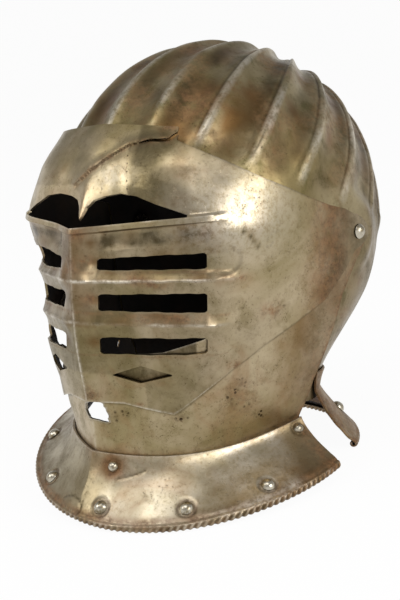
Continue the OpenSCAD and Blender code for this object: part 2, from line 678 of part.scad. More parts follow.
// Cells left out: the slots, the eye openings and all beside the tab
function visor_cell(i, j) = let (k = j < visor_half ? visor_half - 1 - j : j - visor_half)
    !((i == 4 || i == 7 || i == 10) && k > 2 && k < 9)
    && !(i == 14 && k < 8)
    && !(i == 20 && k > 6);

module lozenge() {
    translate([0, mid_y, 0]) rotate([0, 0, 19.3]) rotate([90, 0, 0])
        translate([0, 0, 60]) linear_extrude(90) polygon([
            [-19, lozenge_z - 0.7], [0.5, lozenge_z + 0.56 * lozenge_h],
            [19.7, lozenge_z + 0.8], [-1, lozenge_z - 0.46 * lozenge_h]]);
}
module visor() {
    color(steel) difference() {
        shell(visor_grid, visor_t, function(i, j) visor_cell(i, j));
        pivot_bore();
        lozenge();
        mirror([1, 0, 0]) lozenge();
    }
}

// Pivot rivets: domed outside the visor, clenched over a washer inside the skull
washer_x = skull_x - skull_t - 0.7;
module pivot_rivet() {
    head_x = visor_x + 0.2;
    end_x = washer_x - washer_t;
    translate([0, pivot_y, pivot_z]) rotate([0, 90, 0]) {
        translate([0, 0, head_x]) dome(pivot_head_d, pivot_head_h);
        translate([0, 0, end_x - 0.6]) cylinder(h = head_x - end_x + 1.1, d = pivot_d);
        translate([0, 0, end_x - 1]) cylinder(h = 0.95, d = pivot_d + 2.4);
    }
}
module left_pivot_rivet() {
    color(dark_steel) pivot_rivet();
}
module right_pivot_rivet() {
    color(dark_steel) mirror([1, 0, 0]) pivot_rivet();
}
module pivot_washers() {
    color(dark_steel) for (side = [0, 1]) mirror([side, 0, 0])
        translate([washer_x - washer_t, pivot_y, pivot_z]) rotate([0, 90, 0]) difference() {
            cylinder(h = washer_t, d = washer_d);
            translate([0, 0, -1]) cylinder(h = washer_t + 2, d = pivot_d + 2 * run_gap);
        }
}

// Lay the helmet back on its rims and take a small flat off where they touch
set_x = 0.1;
set_y = -6.02;
flat = 0.3;
module placed() {
    difference() {
        translate([set_x, set_y, -floor_z * cos(lean) - flat]) rotate([-lean, 0, 0]) children();
        translate([-200, -200, -20]) cube([400, 400, 20]);
    }
}

placed() skull();
placed() bevor();
placed() visor();
placed() front_neck_plate();
placed() rear_neck_plate();
placed() left_pivot_rivet();
placed() right_pivot_rivet();
placed() pivot_washers();
placed() front_seam_rivets();
placed() front_seam_burrs();
placed() front_lining_rivets();
placed() front_lining_burrs();
placed() front_lining_band();
placed() front_edge_wire();
placed() rear_seam_rivets();
placed() rear_seam_burrs();
placed() rear_lining_rivets();
placed() rear_lining_burrs();
placed() rear_lining_band();
placed() rear_edge_wire();
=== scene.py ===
"""Close helmet of a heavy cavalryman in old burnished steel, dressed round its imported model.

Every plate is worked out upright in millimetres, x to the wearer's left and y to the back,
with angles about a polar axis up through the skull, and then laid back on its rims.
"""
import math
import bpy
import numpy as np
from mathutils import Matrix, Vector


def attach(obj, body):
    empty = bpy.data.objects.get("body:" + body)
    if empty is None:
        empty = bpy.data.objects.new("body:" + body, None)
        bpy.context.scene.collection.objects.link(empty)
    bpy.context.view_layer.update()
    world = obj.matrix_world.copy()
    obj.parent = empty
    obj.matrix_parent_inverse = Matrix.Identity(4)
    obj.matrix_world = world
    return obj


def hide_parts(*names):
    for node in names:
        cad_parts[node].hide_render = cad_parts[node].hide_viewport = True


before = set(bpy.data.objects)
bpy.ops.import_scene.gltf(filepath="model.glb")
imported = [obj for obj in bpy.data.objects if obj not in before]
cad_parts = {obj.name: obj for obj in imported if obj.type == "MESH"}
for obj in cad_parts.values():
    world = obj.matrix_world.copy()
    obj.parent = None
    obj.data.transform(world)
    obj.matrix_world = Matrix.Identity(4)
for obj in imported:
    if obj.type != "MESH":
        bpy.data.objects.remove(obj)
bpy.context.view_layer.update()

# ---- sizes that the plates share with the construction, in millimetres and degrees ----
# the skull's half width, half depth and dome over its widest level, and the plates' thickness
SKULL_X, SKULL_B, DOME_H, SKULL_Z = 96.0, 110.5, 109.5, 55.0
SKULL_T, PLATE_T = 1.6, 1.5
# the pivots' line, the polar axis, and the gaps between plates at the sides and at the chin
PIVOT_Y, PIVOT_Z = 36.0, 46.0
MID_Y = 18.8
PLATE_GAP, CHIN_GAP = 0.3, 1.6
BEVOR_X = SKULL_X + PLATE_GAP + PLATE_T
VISOR_X = BEVOR_X + PLATE_GAP + PLATE_T
# how far the bevor and the skull stand inside the visor's form
BEVOR_IN = PLATE_T + CHIN_GAP
SKULL_IN = BEVOR_IN + PLATE_T + 0.9
FLUTES, FLUTE_H, CROWN_TILT = 20, 3.2, 33.0
# the skull's edge at brow and nape, the nape's half depth, the reach of its lower form
BROW_Z, NAPE_Z, NAPE_D, LOW_H = 78.0, -60.0, 59.0, 130.0
# the keel's reach from the axis, the slant of each half face, less at the chin; the temple
RIDGE_REACH, PROW, CHIN_ROUND, TEMPLE = 128.3, 25.0, 5.0, 9.0
# the radius of the cheek from the pivot, the power with which the face turns into it, the jaw
CHEEK_REACH, TURN, JAW_Z = 170.0, 20.0, -45.0
# the slots' ends and height, and for each its level, tilt and share of that height at its ends
SLOT_IN, SLOT_OUT, SLOT_H = 7.3, 39.4, 9.4
SLOTS = ((-18.0, 0.045, 1.03, 1.0), (7.0, 0.042, 1.0, 1.2), (30.0, 0.103, 0.72, 0.96))
RIB_H, LIP_Z, LIP_H, LIP_OUT = 2.6, 49.0, 4.4, 1.6
TAB_H, TAB_END = 7.5, 29.5
BROW_BACK, BROW_SWELL, DOME_OUT = 5.0, 3.5, 2.6 + 1.5
VISOR_EAR, BEVOR_EAR, CHIN_Z = 9.0, 10.5, -27.0
# the front neck plate's seam and its rim: level, width, depth, skew and the middle's place
THROAT_Z, RIM_Z, RIM_W, RIM_D, RIM_FALL, RIM_MID = -84.0, -121.0, 207.0, 213.0, 11.5, -0.5
LAP, NAPE_LAP, SEAM_GAP = 0.36, 18.0, 0.7
REAR_W, REAR_D, REAR_MID = 180.0, 150.0, 30.0
# the turned edge's radius, the rope's pitch, and the degrees round it in which a groove runs
# on by a pitch
ROLL_R, ROPE_PITCH, ROPE_SLANT = 2.6, 4.1, 260.0
# how far the helmet leans back, the floor's level before that, and where it is then set down
LEAN = math.radians(12)
FLOOR_Z = -105.6
SET = (0.1, -6.02, -FLOOR_Z * math.cos(LEAN) - 0.3)
REAR_TOP = NAPE_Z + NAPE_LAP


# ---- small helpers ----
def ease(t):
    """Smooth step from 0 to 1: three squares less two cubes."""
    u = np.clip(t, 0, 1)
    return u * u * (3 - 2 * u)


def mix(a, b, t):
    """From a to b by a share t."""
    return a + (b - a) * t


def sin(a):
    """Sine of an angle in degrees."""
    return np.sin(np.radians(a))


def cos(a):
    """Cosine of an angle in degrees."""
    return np.cos(np.radians(a))


def table(x, rows):
    """Straight lines through (x, value) rows, held level beyond both ends."""
    rows = np.array(rows, float)
    return np.interp(x, rows[:, 0], rows[:, 1])


def spot(th, r, z):
    """Point at an angle from the front, a radius from the polar axis and a level."""
    th, r, z = np.broadcast_arrays(th, r, z)
    return np.stack([r * sin(th), MID_Y - r * cos(th), z], -1)


def angle_of(p):
    """Angle from the front of points about the polar axis."""
    return np.degrees(np.arctan2(p[..., 0], MID_Y - p[..., 1]))


def placed(p):
    """Millimetres upright to metres leaned back on the floor: turned about X, then set down."""
    c, s = math.cos(LEAN), math.sin(LEAN)
    x = p[..., 0] + SET[0]
    y = p[..., 1] * c + p[..., 2] * s + SET[1]
    z = -p[..., 1] * s + p[..., 2] * c + SET[2]
    return np.stack([x, y, np.maximum(z, 0)], -1) * 0.001


def unit(v):
    """Vectors divided by their own length, which brings it to 1."""
    return v / np.maximum(np.linalg.norm(v, axis=-1, keepdims=True), 1e-9)


def blob(u, v=0.0):
    """A soft mark: 1 where two scaled distances are nought, fading as e to minus their squares."""
    return np.exp(-(u * u + v * v))


def most(*marks):
    """The strongest of several marks at each point."""
    return np.max(np.broadcast_arrays(*marks), 0)


def grid_normals(g, ring=False):
    """Outward normals of a grid of points: across the columns, crossed with up the rows."""
    if ring:
        across = np.roll(g, -1, 1) - np.roll(g, 1, 1)
    else:
        across = np.gradient(g, axis=1)
    return unit(np.cross(across, np.gradient(g, axis=0)))


def waves(p, size, seed, count=9):
    """Unevenness of hand-beaten plate: a sum of sine waves of about one length in mm."""
    draw = np.random.default_rng(seed)
    total = np.zeros(p.shape[:-1])
    for _ in range(count):
        way = unit(draw.normal(size=3)) * (2 * math.pi / (size * draw.uniform(0.7, 1.5)))
        total += np.sin(p @ way + draw.uniform(0, 6.28))
    return total / math.sqrt(count)


def from_line(th, z, line, mm):
    """Distance of points from a chain of (degrees, level) points, all laid flat with so many
    millimetres to a degree: the least of the distances from its segments."""
    p, line = np.stack([th * mm, z], -1), np.array(line, float) * (mm, 1)
    best = np.full(p.shape[:-1], 1e9)
    for a, b in zip(line[:-1], line[1:]):
        way = b - a
        part = np.clip(((p - a) @ way) / (way @ way), 0, 1)
        best = np.minimum(best, np.linalg.norm(p - a - part[..., None] * way, axis=-1))
    return best


def inside(p, loop):
    """Which flat points lie inside a closed outline: an odd number of edges crossed."""
    odd = np.zeros(p.shape[:-1], bool)
    for a, b in zip(loop, np.roll(loop, -1, 0)):
        spans = (a[1] > p[..., 1]) != (b[1] > p[..., 1])
        with np.errstate(divide="ignore", invalid="ignore"):
            at = a[0] + (p[..., 1] - a[1]) * (b[0] - a[0]) / (b[1] - a[1])
        odd ^= spans & (p[..., 0] < at)
    return odd


def drawn_to(p, loop):
    """Flat points moved to the nearest place on a closed outline."""
    best, place = np.full(p.shape[:-1], 1e9), p.copy()
    for a, b in zip(loop, np.roll(loop, -1, 0)):
        way = b - a
        part = np.clip(((p - a) @ way) / (way @ way), 0, 1)
        near = a + part[..., None] * way
        far = np.linalg.norm(p - near, axis=-1)
        closer = far < best
        best = np.where(closer, far, best)
        place = np.where(closer[..., None], near, place)
    return place


def cut(flat, loop, where):
    """Cells of a flat grid inside an outline, and the grid with their rim drawn onto it."""
    loop = np.array(loop, float)
    centre = (flat[1:, 1:] + flat[:-1, 1:] + flat[1:, :-1] + flat[:-1, :-1]) / 4
    gone = inside(centre, loop) & where[1:, 1:] & where[:-1, :-1]
    touch, stay = np.zeros(flat.shape[:2], bool), np.zeros(flat.shape[:2], bool)
    for a in (slice(0, -1), slice(1, None)):
        for b in (slice(0, -1), slice(1, None)):
            touch[a, b] |= gone
            stay[a, b] |= ~gone
    return gone, np.where((touch & stay)[..., None], drawn_to(flat, loop), flat)


def cut_out(th, z, keep, mm, losses):
    """A plate's angles, levels and kept cells after outlines of (degrees, level) are cut from
    it, each where its own mask allows, laid flat with so many millimetres to a degree."""
    for loop, where in losses:
        gone, new = cut(np.stack([th * mm, z], -1), np.array(loop) * (mm, 1), where)
        th, z, keep = new[..., 0] / mm, new[..., 1], keep & ~gone
    return th, z, keep


def ragged(corners, size, seed, steps=5):
    """A closed outline with each side broken into short uneven lengths."""
    draw = np.random.default_rng(seed)
    corners = np.array(corners, float)
    out = []
    for a, b in zip(corners, np.roll(corners, -1, 0)):
        for k in range(steps):
            out.append(mix(a, b, k / steps) + draw.uniform(-size, size, 2) * (k > 0))
    return np.array(out)


# ---- meshes ----
# corners eased by the file, enough to catch the light: the width in metres, and the angle
# between two faces from which it is done
EASED, CORNER = 0.00022, 58


def mesh_object(name, points, quads, tris=None, slot_of=None, tints=None, sharp=38, eased=0.0):
    """One object from placed points, quads and triangles, with soft faces and hard corners."""
    tris = np.zeros((0, 3), int) if tris is None else tris
    used, at = np.unique(np.concatenate([quads.ravel(), tris.ravel()]), return_inverse=True)
    mesh = bpy.data.meshes.new(name)
    mesh.vertices.add(len(used))
    mesh.vertices.foreach_set("co", points.reshape(-1, 3)[used].astype(np.float32).ravel())
    mesh.loops.add(len(at))
    mesh.loops.foreach_set("vertex_index", at.astype(np.int32))
    starts = np.concatenate([np.arange(len(quads)) * 4,
                             len(quads) * 4 + np.arange(len(tris)) * 3]).astype(np.int32)
    mesh.polygons.add(len(starts))
    mesh.polygons.foreach_set("loop_start", starts)
    mesh.polygons.foreach_set("use_smooth", np.ones(len(starts), bool))
    if slot_of is not None:
        mesh.polygons.foreach_set("material_index", slot_of.astype(np.int32))
    mesh.update(calc_edges=True)
    for key, values in (tints or {}).items():
        layer = mesh.attributes.new(key, "FLOAT", "POINT")
        layer.data.foreach_set("value", np.asarray(values).ravel()[used].astype(np.float32))
    mesh.validate()
    mesh.set_sharp_from_angle(angle=math.radians(sharp))
    piece = bpy.data.objects.new(name, mesh)
    bpy.context.scene.collection.objects.link(piece)
    if eased:
        corner = piece.modifiers.new("eased_corners", "BEVEL")
        corner.width, corner.segments, corner.limit_method = eased, 1, "ANGLE"
        corner.angle_limit = math.radians(CORNER)
    return piece


def plate(name, base, thick, lift=0.0, inner_lift=0.0, keep=None, ring=False, tip=None,
          tints=None, sharp=38):
    """A plate from a grid on its outer face, rows upwards, columns anticlockwise from above.
    The outer skin is the grid raised by lift along its normals, the inner skin the grid
    lowered by the thickness, and walls join them wherever a kept cell has no neighbour."""
    rows, cols = base.shape[:2]
    n = grid_normals(base, ring)
    lift = np.broadcast_to(lift, (rows, cols))[..., None]
    inner_lift = np.broadcast_to(inner_lift, (rows, cols))[..., None]
    outer = base + lift * n
    inner = base + (inner_lift - thick) * n
    wide = cols if ring else cols - 1
    keep = np.ones((rows - 1, wide), bool) if keep is None else keep
    i, j = np.nonzero(keep)
    count = rows * cols

    def out(a, b):
        """Number of an outer point: its row times the columns, and its column."""
        return a * cols + b % cols

    def inn(a, b):
        """Number of an inner point: that of the outer one, past all the outer ones."""
        return count + a * cols + b % cols

    around = np.pad(keep, ((1, 1), (1, 1)))
    if ring:
        around[1:-1, 0], around[1:-1, -1] = keep[:, -1], keep[:, 0]
    skins = [np.stack([out(i, j), out(i, j + 1), out(i + 1, j + 1), out(i + 1, j)], -1),
             np.stack([inn(i, j), inn(i + 1, j), inn(i + 1, j + 1), inn(i, j + 1)], -1)]
    sides = (((0, 1), (0, 1), (0, 0)), ((2, 1), (1, 0), (1, 1)),
             ((1, 0), (0, 0), (1, 0)), ((1, 2), (1, 1), (0, 1)))
    walls = []
    for (di, dj), a, b in sides:
        bare = keep & ~around[di:di + rows - 1, dj:dj + wide]
        if tip is not None and di == 2:
            bare[-1] = False
        p, q = np.nonzero(bare)
        walls.append(np.stack([out(p + a[0], q + a[1]), out(p + b[0], q + b[1]),
                               inn(p + b[0], q + b[1]), inn(p + a[0], q + a[1])], -1))
    quads = np.concatenate(skins + walls)
    slot_of = np.concatenate([np.zeros(len(i)), np.ones(len(i)),
                              np.zeros(len(quads) - 2 * len(i))])
    points = np.concatenate([outer.reshape(-1, 3), inner.reshape(-1, 3)])
    tris = None
    if tip is not None:
        points = np.concatenate([points, np.array(tip)])
        k = np.arange(cols)
        top = rows - 1
        tris = np.concatenate([
            np.stack([out(top, k), out(top, k + 1), np.full(cols, 2 * count)], -1),
            np.stack([inn(top, k + 1), inn(top, k), np.full(cols, 2 * count + 1)], -1)])
        slot_of = np.concatenate([slot_of, np.zeros(cols), np.ones(cols)])
    marks = {}
    for key, values in (tints or {}).items():
        flat = np.broadcast_to(values, (rows, cols)).ravel()
        marks[key] = np.concatenate([flat, flat] + ([[0.0, 0.0]] if tip is not None else []))
    return mesh_object(name, placed(points), quads, tris, slot_of, marks, sharp, EASED)


def turned_solid(profile, sides=36, wobble=0.0, seed=0):
    """Points and faces of a profile (radius, height) carried round its axis, closed on it."""
    profile = np.array(profile, float)
    ang = np.arange(sides) * 2 * math.pi / sides
    draw = np.random.default_rng(seed)
    out_of_round = 1 + wobble * np.sin(2 * ang + draw.uniform(0, 6.28))
    ring = profile[1:-1]
    pts = np.stack([ring[:, None, 0] * np.cos(ang) * out_of_round,
                    ring[:, None, 0] * np.sin(ang) * out_of_round,
                    np.broadcast_to(ring[:, None, 1], (len(ring), sides))], -1).reshape(-1, 3)
    pts = np.concatenate([pts, [[0, 0, profile[0, 1]], [0, 0, profile[-1, 1]]]])
    i, j = np.meshgrid(np.arange(len(ring) - 1), np.arange(sides), indexing="ij")
    i, j, k = i.ravel(), j.ravel(), (j.ravel() + 1) % sides
    quads = np.stack([i * sides + j, (i + 1) * sides + j, (i + 1) * sides + k, i * sides + k], -1)
    j = np.arange(sides)
    k = (j + 1) % sides
    top, low, last = len(pts) - 2, len(pts) - 1, (len(ring) - 1) * sides
    tris = np.concatenate([np.stack([j, k, np.full(sides, top)], -1),
                           np.stack([last + k, last + j, np.full(sides, low)], -1)])
    return pts, quads, tris


def stood(pts, at, normal):
    """Points turned so that their Z runs along a normal, and moved to a place."""
    n = unit(np.array(normal, float))
    a = unit(np.cross([0, 0, 1.0], n)) if abs(n[2]) < 0.99 else np.array([1.0, 0, 0])
    b = np.cross(n, a)
    return at + pts[:, :1] * a + pts[:, 1:2] * b + pts[:, 2:3] * n


def set_of_solids(name, solids, tints=None, sharp=40):
    """Several closed solids of (points, quads, triangles) as one object."""
    pts, quads, tris, base = [], [], [], 0
    for p, q, t in solids:
        pts.append(p)
        quads.append(q + base)
        tris.append(t + base)
        base += len(p)
    return mesh_object(name, placed(np.concatenate(pts)), np.concatenate(quads),
                       np.concatenate(tris), None, tints, sharp)


# ---- the forms of the plates ----
def fall(z):
    """Levels under the jaw drawn up, so that the cheek runs on down nearly straight."""
    return np.where(z < JAW_Z, JAW_Z + 0.3 * (z - JAW_Z), z)


def cheek_r(th, z, half, reach):
    """Radius of a round cheek, a flattened dome about the line through the pivots."""
    w = half * (1 - 0.1 * ease((JAW_Z - z) / 40))
    dy, dz = PIVOT_Y - MID_Y, fall(z) - PIVOT_Z
    a = (sin(th) / w) ** 2 + (cos(th) / reach) ** 2
    b = dy * cos(th) / reach ** 2
    c = (dy * dy + dz * dz) / reach ** 2 - 1
    return (-b + np.sqrt(np.maximum(b * b - a * c, 0))) / a


def ridge_r(z):
    """Radius of the keel: a parabola about the nose, then straight down the chin."""
    return np.where(z > -50, RIDGE_REACH - 0.00152 * (z - 30) ** 2,
                    RIDGE_REACH - 9.73 + 0.1 * (z + 50))


def face_r(th, z, half, within, worn=0.0):
    """Radius of the keeled face: a flat half face, softly met by the round cheek.
    The keel's crest is rounded off by a small worn angle."""
    t = np.sqrt(np.abs(th) ** 2 + worn ** 2)
    prow = PROW - CHIN_ROUND * ease((-8 - z) / 16) * (1 - 0.55 * ease((-60 - z) / 15))
    flat = (ridge_r(z) - within) * cos(prow) / cos(np.minimum(t - prow, 80))
    cheek = cheek_r(t, z, half, CHEEK_REACH - within)
    return (flat ** -TURN + cheek ** -TURN) ** (-1 / TURN)


def dome_r(th, z, more):
    """Radius of the skull's dome made larger by so much: an ellipse round and upwards."""
    a, b, h = SKULL_X + more, SKULL_B + more, DOME_H + more
    r = 1 / np.sqrt((sin(th) / a) ** 2 + (cos(th) / b) ** 2)
    return r * np.sqrt(np.maximum(0.02, 1 - ((z - SKULL_Z) / h) ** 2))


def oval_r(th, a, b, off):
    """Radius of an ellipse whose middle lies off the polar axis."""
    p = (sin(th) / a) ** 2 + (cos(th) / b) ** 2
    q = off * cos(th) / b ** 2
    return (q + np.sqrt(q * q - p * ((off / b) ** 2 - 1))) / p


def tight_min(a, b):
    """The less of two radii, the corner between them rounded by a high power."""
    return (a ** -60.0 + b ** -60.0) ** (-1 / 60)


# Skull: ridges between hollow flutes that meet at the crown
CROWN_AXIS = np.array([0, math.sin(math.radians(CROWN_TILT)), math.cos(math.radians(CROWN_TILT))])
BROW_AXIS = np.array([0, -math.cos(math.radians(CROWN_TILT)), math.sin(math.radians(CROWN_TILT))])


def skull_low_r(th, z):
    """Radius of the skull below its widest level: an ellipse that eases in to the nape and
    moves back with it, held inside the cheek."""
    k = ease((42 - z) / (42 - NAPE_Z - 4))
    plain = oval_r(th, SKULL_X + 1 - 24 * k * k, mix(SKULL_B, NAPE_D, k), 6.8 * k)
    return tight_min(plain, cheek_r(th, z, SKULL_X, CHEEK_REACH - SKULL_IN))


def flute_phase(lon, worn=0.12):
    """0 on a ridge, 1 in the middle of a hollow, with the ridge's crest rubbed round."""
    across = np.abs(((lon * FLUTES / 360 + 0.5) % 1) - 0.5) * 2
    return (np.sqrt(across ** 2 + worn ** 2) - worn) / (math.hypot(1, worn) - worn)


def skull_at(lon, down):
    """Point of the skull in a direction: a longitude about the crown and an angle from it."""
    s = (cos(down)[..., None] * CROWN_AXIS + sin(down)[..., None]
         * (cos(lon)[..., None] * BROW_AXIS + sin(lon)[..., None] * np.array([1.0, 0, 0])))
    low = s[..., 2] < 0
    th = np.degrees(np.arctan2(s[..., 0] * SKULL_X, -s[..., 1] * SKULL_B))
    z = SKULL_Z + np.where(low, LOW_H, DOME_H) * s[..., 2]
    p = np.where(low[..., None], spot(th, skull_low_r(th, z), z),
                 np.stack([SKULL_X * s[..., 0], MID_Y + SKULL_B * s[..., 1], z], -1))
    n = unit(s / np.array([SKULL_X, SKULL_B, DOME_H]))
    deep = (ease((z - (74 - 0.354 * p[..., 1]) + 6) / 18) * np.minimum(1, down / 25))
    q = p + n * (FLUTE_H * ((1 - flute_phase(lon)) ** 2 - 1 / 3) * deep)[..., None]
    off = np.hypot(q[..., 1] - PIVOT_Y, q[..., 2] - PIVOT_Z)
    side = SKULL_X * np.sqrt(np.maximum(0.01, 1 - (off / (CHEEK_REACH - SKULL_IN)) ** 2))
    ax = np.abs(q[..., 0])
    x = np.where(ax < 20, ax, tight_min(np.maximum(ax, 1), side))
    boss = 1 - ease((off - 17) / 14)
    return np.stack([np.sign(q[..., 0]) * mix(x, side, boss), q[..., 1], q[..., 2]], -1), deep


def skull_edge(y):
    """Level of the skull's lower edge: over the brow, behind the pivots and round the nape."""
    tucked = 4.5 * ease((y + 55) / 40) * (1 - ease((y - PIVOT_Y + 32) / 12))
    return -tucked + np.where(y < PIVOT_Y - 32, BROW_Z - 12 * (y + 90) / (PIVOT_Y + 58),
                    mix(BROW_Z - 12, NAPE_Z, ease((y - PIVOT_Y + 32) / 12)))


# places on the skull where rust has bloomed: x, y, z and reach
SKULL_RUST = ((20, -52, 152, 13), (44, -50, 120, 14), (72, -20, 92, 12))


def make_skull():
    """The fluted dome: rows from its lower edge, found by halving, to the crown."""
    per_flute, rows, crown_ring = 18, 92, 4.0
    lon = np.arange(FLUTES * per_flute) * 360 / (FLUTES * per_flute)
    near, far = np.full(lon.shape, 45.0), np.full(lon.shape, 150.0)
    for _ in range(20):
        mid = (near + far) / 2
        p = skull_at(lon, mid)[0]
        above = p[:, 2] > skull_edge(p[:, 1])
        near, far = np.where(above, mid, near), np.where(above, far, mid)
    down = mix(near[None], crown_ring, np.linspace(0, 1, rows)[:, None])
    lon = np.broadcast_to(lon, down.shape)
    base, deep = skull_at(lon, down)
    height = base[..., 2]
    crown = skull_at(np.array([0.0]), np.array([0.01]))[0][0]
    phase = flute_phase(lon)
    side = ((lon * FLUTES / 360 + 0.5) % 1) - 0.5
    turn = (lon + 180) % 360 - 180
    # the flutes over the wearer's left are stepped: each ridge has a sharp valley before it
    stepped = ease((turn - 26) / 10) * (1 - ease((turn - 150) / 20))
    valley = blob((side + 0.115) / 0.045) * deep * stepped
    lift = (0.16 * waves(base, 34, 3) + 0.07 * waves(base, 15, 4) - 0.2 - 0.8 * valley
            - 0.7 * deep * ease(phase))
    # painted shade lies on one side of each hollow, the skull is darker towards the bottom, and
    # brown stains lie in the hollows
    slope = np.sin(side * 2 * math.pi)
    shade = mix(np.clip(0.25 + 0.9 * slope, 0, 1), np.clip(0.35 - 0.6 * slope, 0, 1), stepped)
    streaks = 0.75 + 0.35 * waves(base * np.array([1, 1, 0.4]), 26, 6)
    grime_and_shade = deep * shade * np.clip(phase * 3, 0, 1) * ease((172 - height) / 24) * streaks
    low = 0.12 + 0.26 * ease((118 - height) / 30) + 0.2 * waves(base, 20, 10) * deep
    rust = most(0.5 * np.clip(waves(base, 36, 7), 0, 1) * deep,
                *(0.9 * blob(np.linalg.norm(base - (x, y, z), axis=-1) / reach)
                  for x, y, z, reach in SKULL_RUST))
    brown = ((0.35 + 0.5 * waves(base, 30, 9)) * ease(phase * 1.6) * ease((height - 60) / 40)
             + 0.35 * ease((turn - 95) / 20) * (1 - ease((turn - 150) / 20)))
    # the ridges' crests are rubbed bright, and the top of the crown is painted lighter as a
    # painted highlight
    worn = (np.clip(1 - phase / 0.13, 0, 1) * deep * (0.45 + 0.3 * waves(base, 30, 8))
            + 0.22 * ease((height - 172) / 26))
    # the sharp valleys before the stepped ridges are darkened too, as painted shade
    tints = {"worn": worn, "grime_and_painted_shade": np.clip(most(grime_and_shade * 0.8, low, valley), 0, 1),
             "rusty": np.clip(rust, 0, 1), "stained": np.clip(brown, 0, 1)}
    return plate("skull_plate", base, SKULL_T, lift, lift, ring=True,
                 tip=[crown, crown - SKULL_T * CROWN_AXIS], tints=tints)


# Visor: a keeled face whose rows follow its slots, ribs, lip and eye openings.
# Its edges are (degrees from the front, level); the eye's arch is its height over the lip.
EYE_END, VISOR_END = 34.5, 105.1
LOW_EDGE = ((0, -53.8), (12.7, -53.1), (28.4, -58.8), (38.1, -45.4), (46.4, -33.7),
            (58.6, -18.7), (72.6, -5.2), (84.3, 6), (89.4, 16), (94, 25), (98, 35),
            (101.5, PIVOT_Z - 0.96 * VISOR_EAR), (VISOR_END, PIVOT_Z - 0.35 * VISOR_EAR))
HIGH_EDGE = ((0, 102.5), (29.5, 99.7), (42.9, 89.3), (55.8, 78), (70.5, 68.8), (84.1, 62.2),
             (91.9, 60), (97, PIVOT_Z + 1.2 * VISOR_EAR),
             (101.5, PIVOT_Z + 0.96 * VISOR_EAR), (VISOR_END, PIVOT_Z + 0.35 * VISOR_EAR))
EYE_ARCH = ((0, 5), (1.4, 11.4), (3.6, 15.6), (7.3, 17.1), (13.4, 17.3), (19.3, 14.7),
            (25.4, 9), (EYE_END, 1.5), (50, 1.5))
# millimetres to a degree of turn: on the face, in its channels, by the temple, on the bevor
FACE_MM, CHANNEL_MM, SCRATCH_MM, TEMPLE_MM, BEVOR_MM = 1.9, 1.95, 1.85, 1.8, 2.0


def slot_edge(k, t, up):
    """Level of a slot's upper or lower edge: a tilted line, a little wavy, opening by its
    shares of the height, and drawn in at the corners."""
    z, tilt, near, far = SLOTS[k]
    corner = 1.1 * (blob((t - SLOT_IN) / 0.45) + blob((t - SLOT_OUT) / 0.45))
    wavy = 0.16 * np.sin(t * 0.55 + 2 * k + up) + 0.10 * np.sin(t * 1.3 + k)
    return (z + tilt * (t - 23) + wavy - up * corner
            + up * SLOT_H / 2 * mix(near, far, (t - SLOT_IN) / (SLOT_OUT - SLOT_IN)))


def visor_levels(t):
    """Level of each named row of the visor, and its share of the height at the sides."""
    low, high, lip = table(t, LOW_EDGE), table(t, HIGH_EDGE), LIP_Z + 0.21 * t
    arch = lip + table(t, EYE_ARCH)
    e = [[slot_edge(k, t, up) for up in (-1, 1)] for k in range(3)]
    rows = [(low, 0), (np.minimum(-50, low + 8), 0.035), (-40, 0.065), (-30, 0.095),
            (e[0][0], 0.157), (e[0][1], 0.229), ((e[0][1] + e[1][0]) / 2, 0.278),
            (e[1][0], 0.337), (e[1][1], 0.413), ((e[1][1] + e[2][0]) / 2 + 0.6, 0.47),
            (e[2][0], 0.517), (e[2][1], 0.576), (lip - LIP_H, 0.708), (lip - LIP_H + 1, 0.73),
            (lip, 0.749), (arch, 0.77)]
    rows += [(mix(arch, high, u), s) for u, s in ((0.17, 0.82), (0.36, 0.87), (0.58, 0.92),
                                                  (0.8, 0.965))]
    rows += [(high, 1), (high + TAB_H, 1)]
    return rows


# named rows, and the finer rows from each to the next
SLOT_ROWS, RIBS, LIPS, LIP_ROW, BROW_ROW, TOP_ROW = (4, 7, 10), (6, 9), (13, 14), 14, 15, 20
ROW_STEPS = (5, 6, 6, 6, 6, 5, 5, 7, 5, 5, 7, 6, 2, 3, 9, 6, 7, 8, 8, 7, 9)


def visor_row(i, t):
    """Level and raised height of named row i at angles t."""
    rows = visor_levels(t)
    level, share = rows[i]
    low, high = rows[0][0], rows[TOP_ROW][0]
    side = ease((t - 28) / 16) if i < 4 else ease((t - 41) / 26)
    z = level if i == 0 or i >= TOP_ROW else mix(level, mix(low, high, share), side)
    z = np.broadcast_to(z, t.shape)
    rib = RIB_H * ease(t / 7) * (1 - ease((t - 38) / 14)) * (i in RIBS)
    cheek = RIB_H * 0.8 * ease((t - 37) / 13) * (1 - ease((t - 50) / 25)) * (5 <= i <= 11)
    lip = LIP_OUT * (1 - ease((t - SLOT_OUT) / 7)) * (i in LIPS)
    brow = 0.0
    if i >= BROW_ROW:
        brow = (BROW_SWELL * blob((t - 17) / 11) * blob((z - 72) / 14)
                - BROW_BACK * np.maximum(0, 1 - (t / 36) ** 2) * (1 - ease((z - 60) / 35)))
    return z, rib + cheek + lip + brow


def visor_r(t, z, worn=0.0):
    """Radius of the visor: the keeled face, easing into a dome over the brow, and swelling at
    the temple."""
    temple = (TEMPLE * ease((t - 8) / 22) * (1 - ease((t - 50) / 34))
              * ease((z - 24) / 30) * (1 - 0.5 * ease((z - 84) / 24)))
    brow = ease((z - 45) / 50)
    return mix(face_r(t, z, VISOR_X, 0, worn), dome_r(t, z, DOME_OUT), brow) + temple


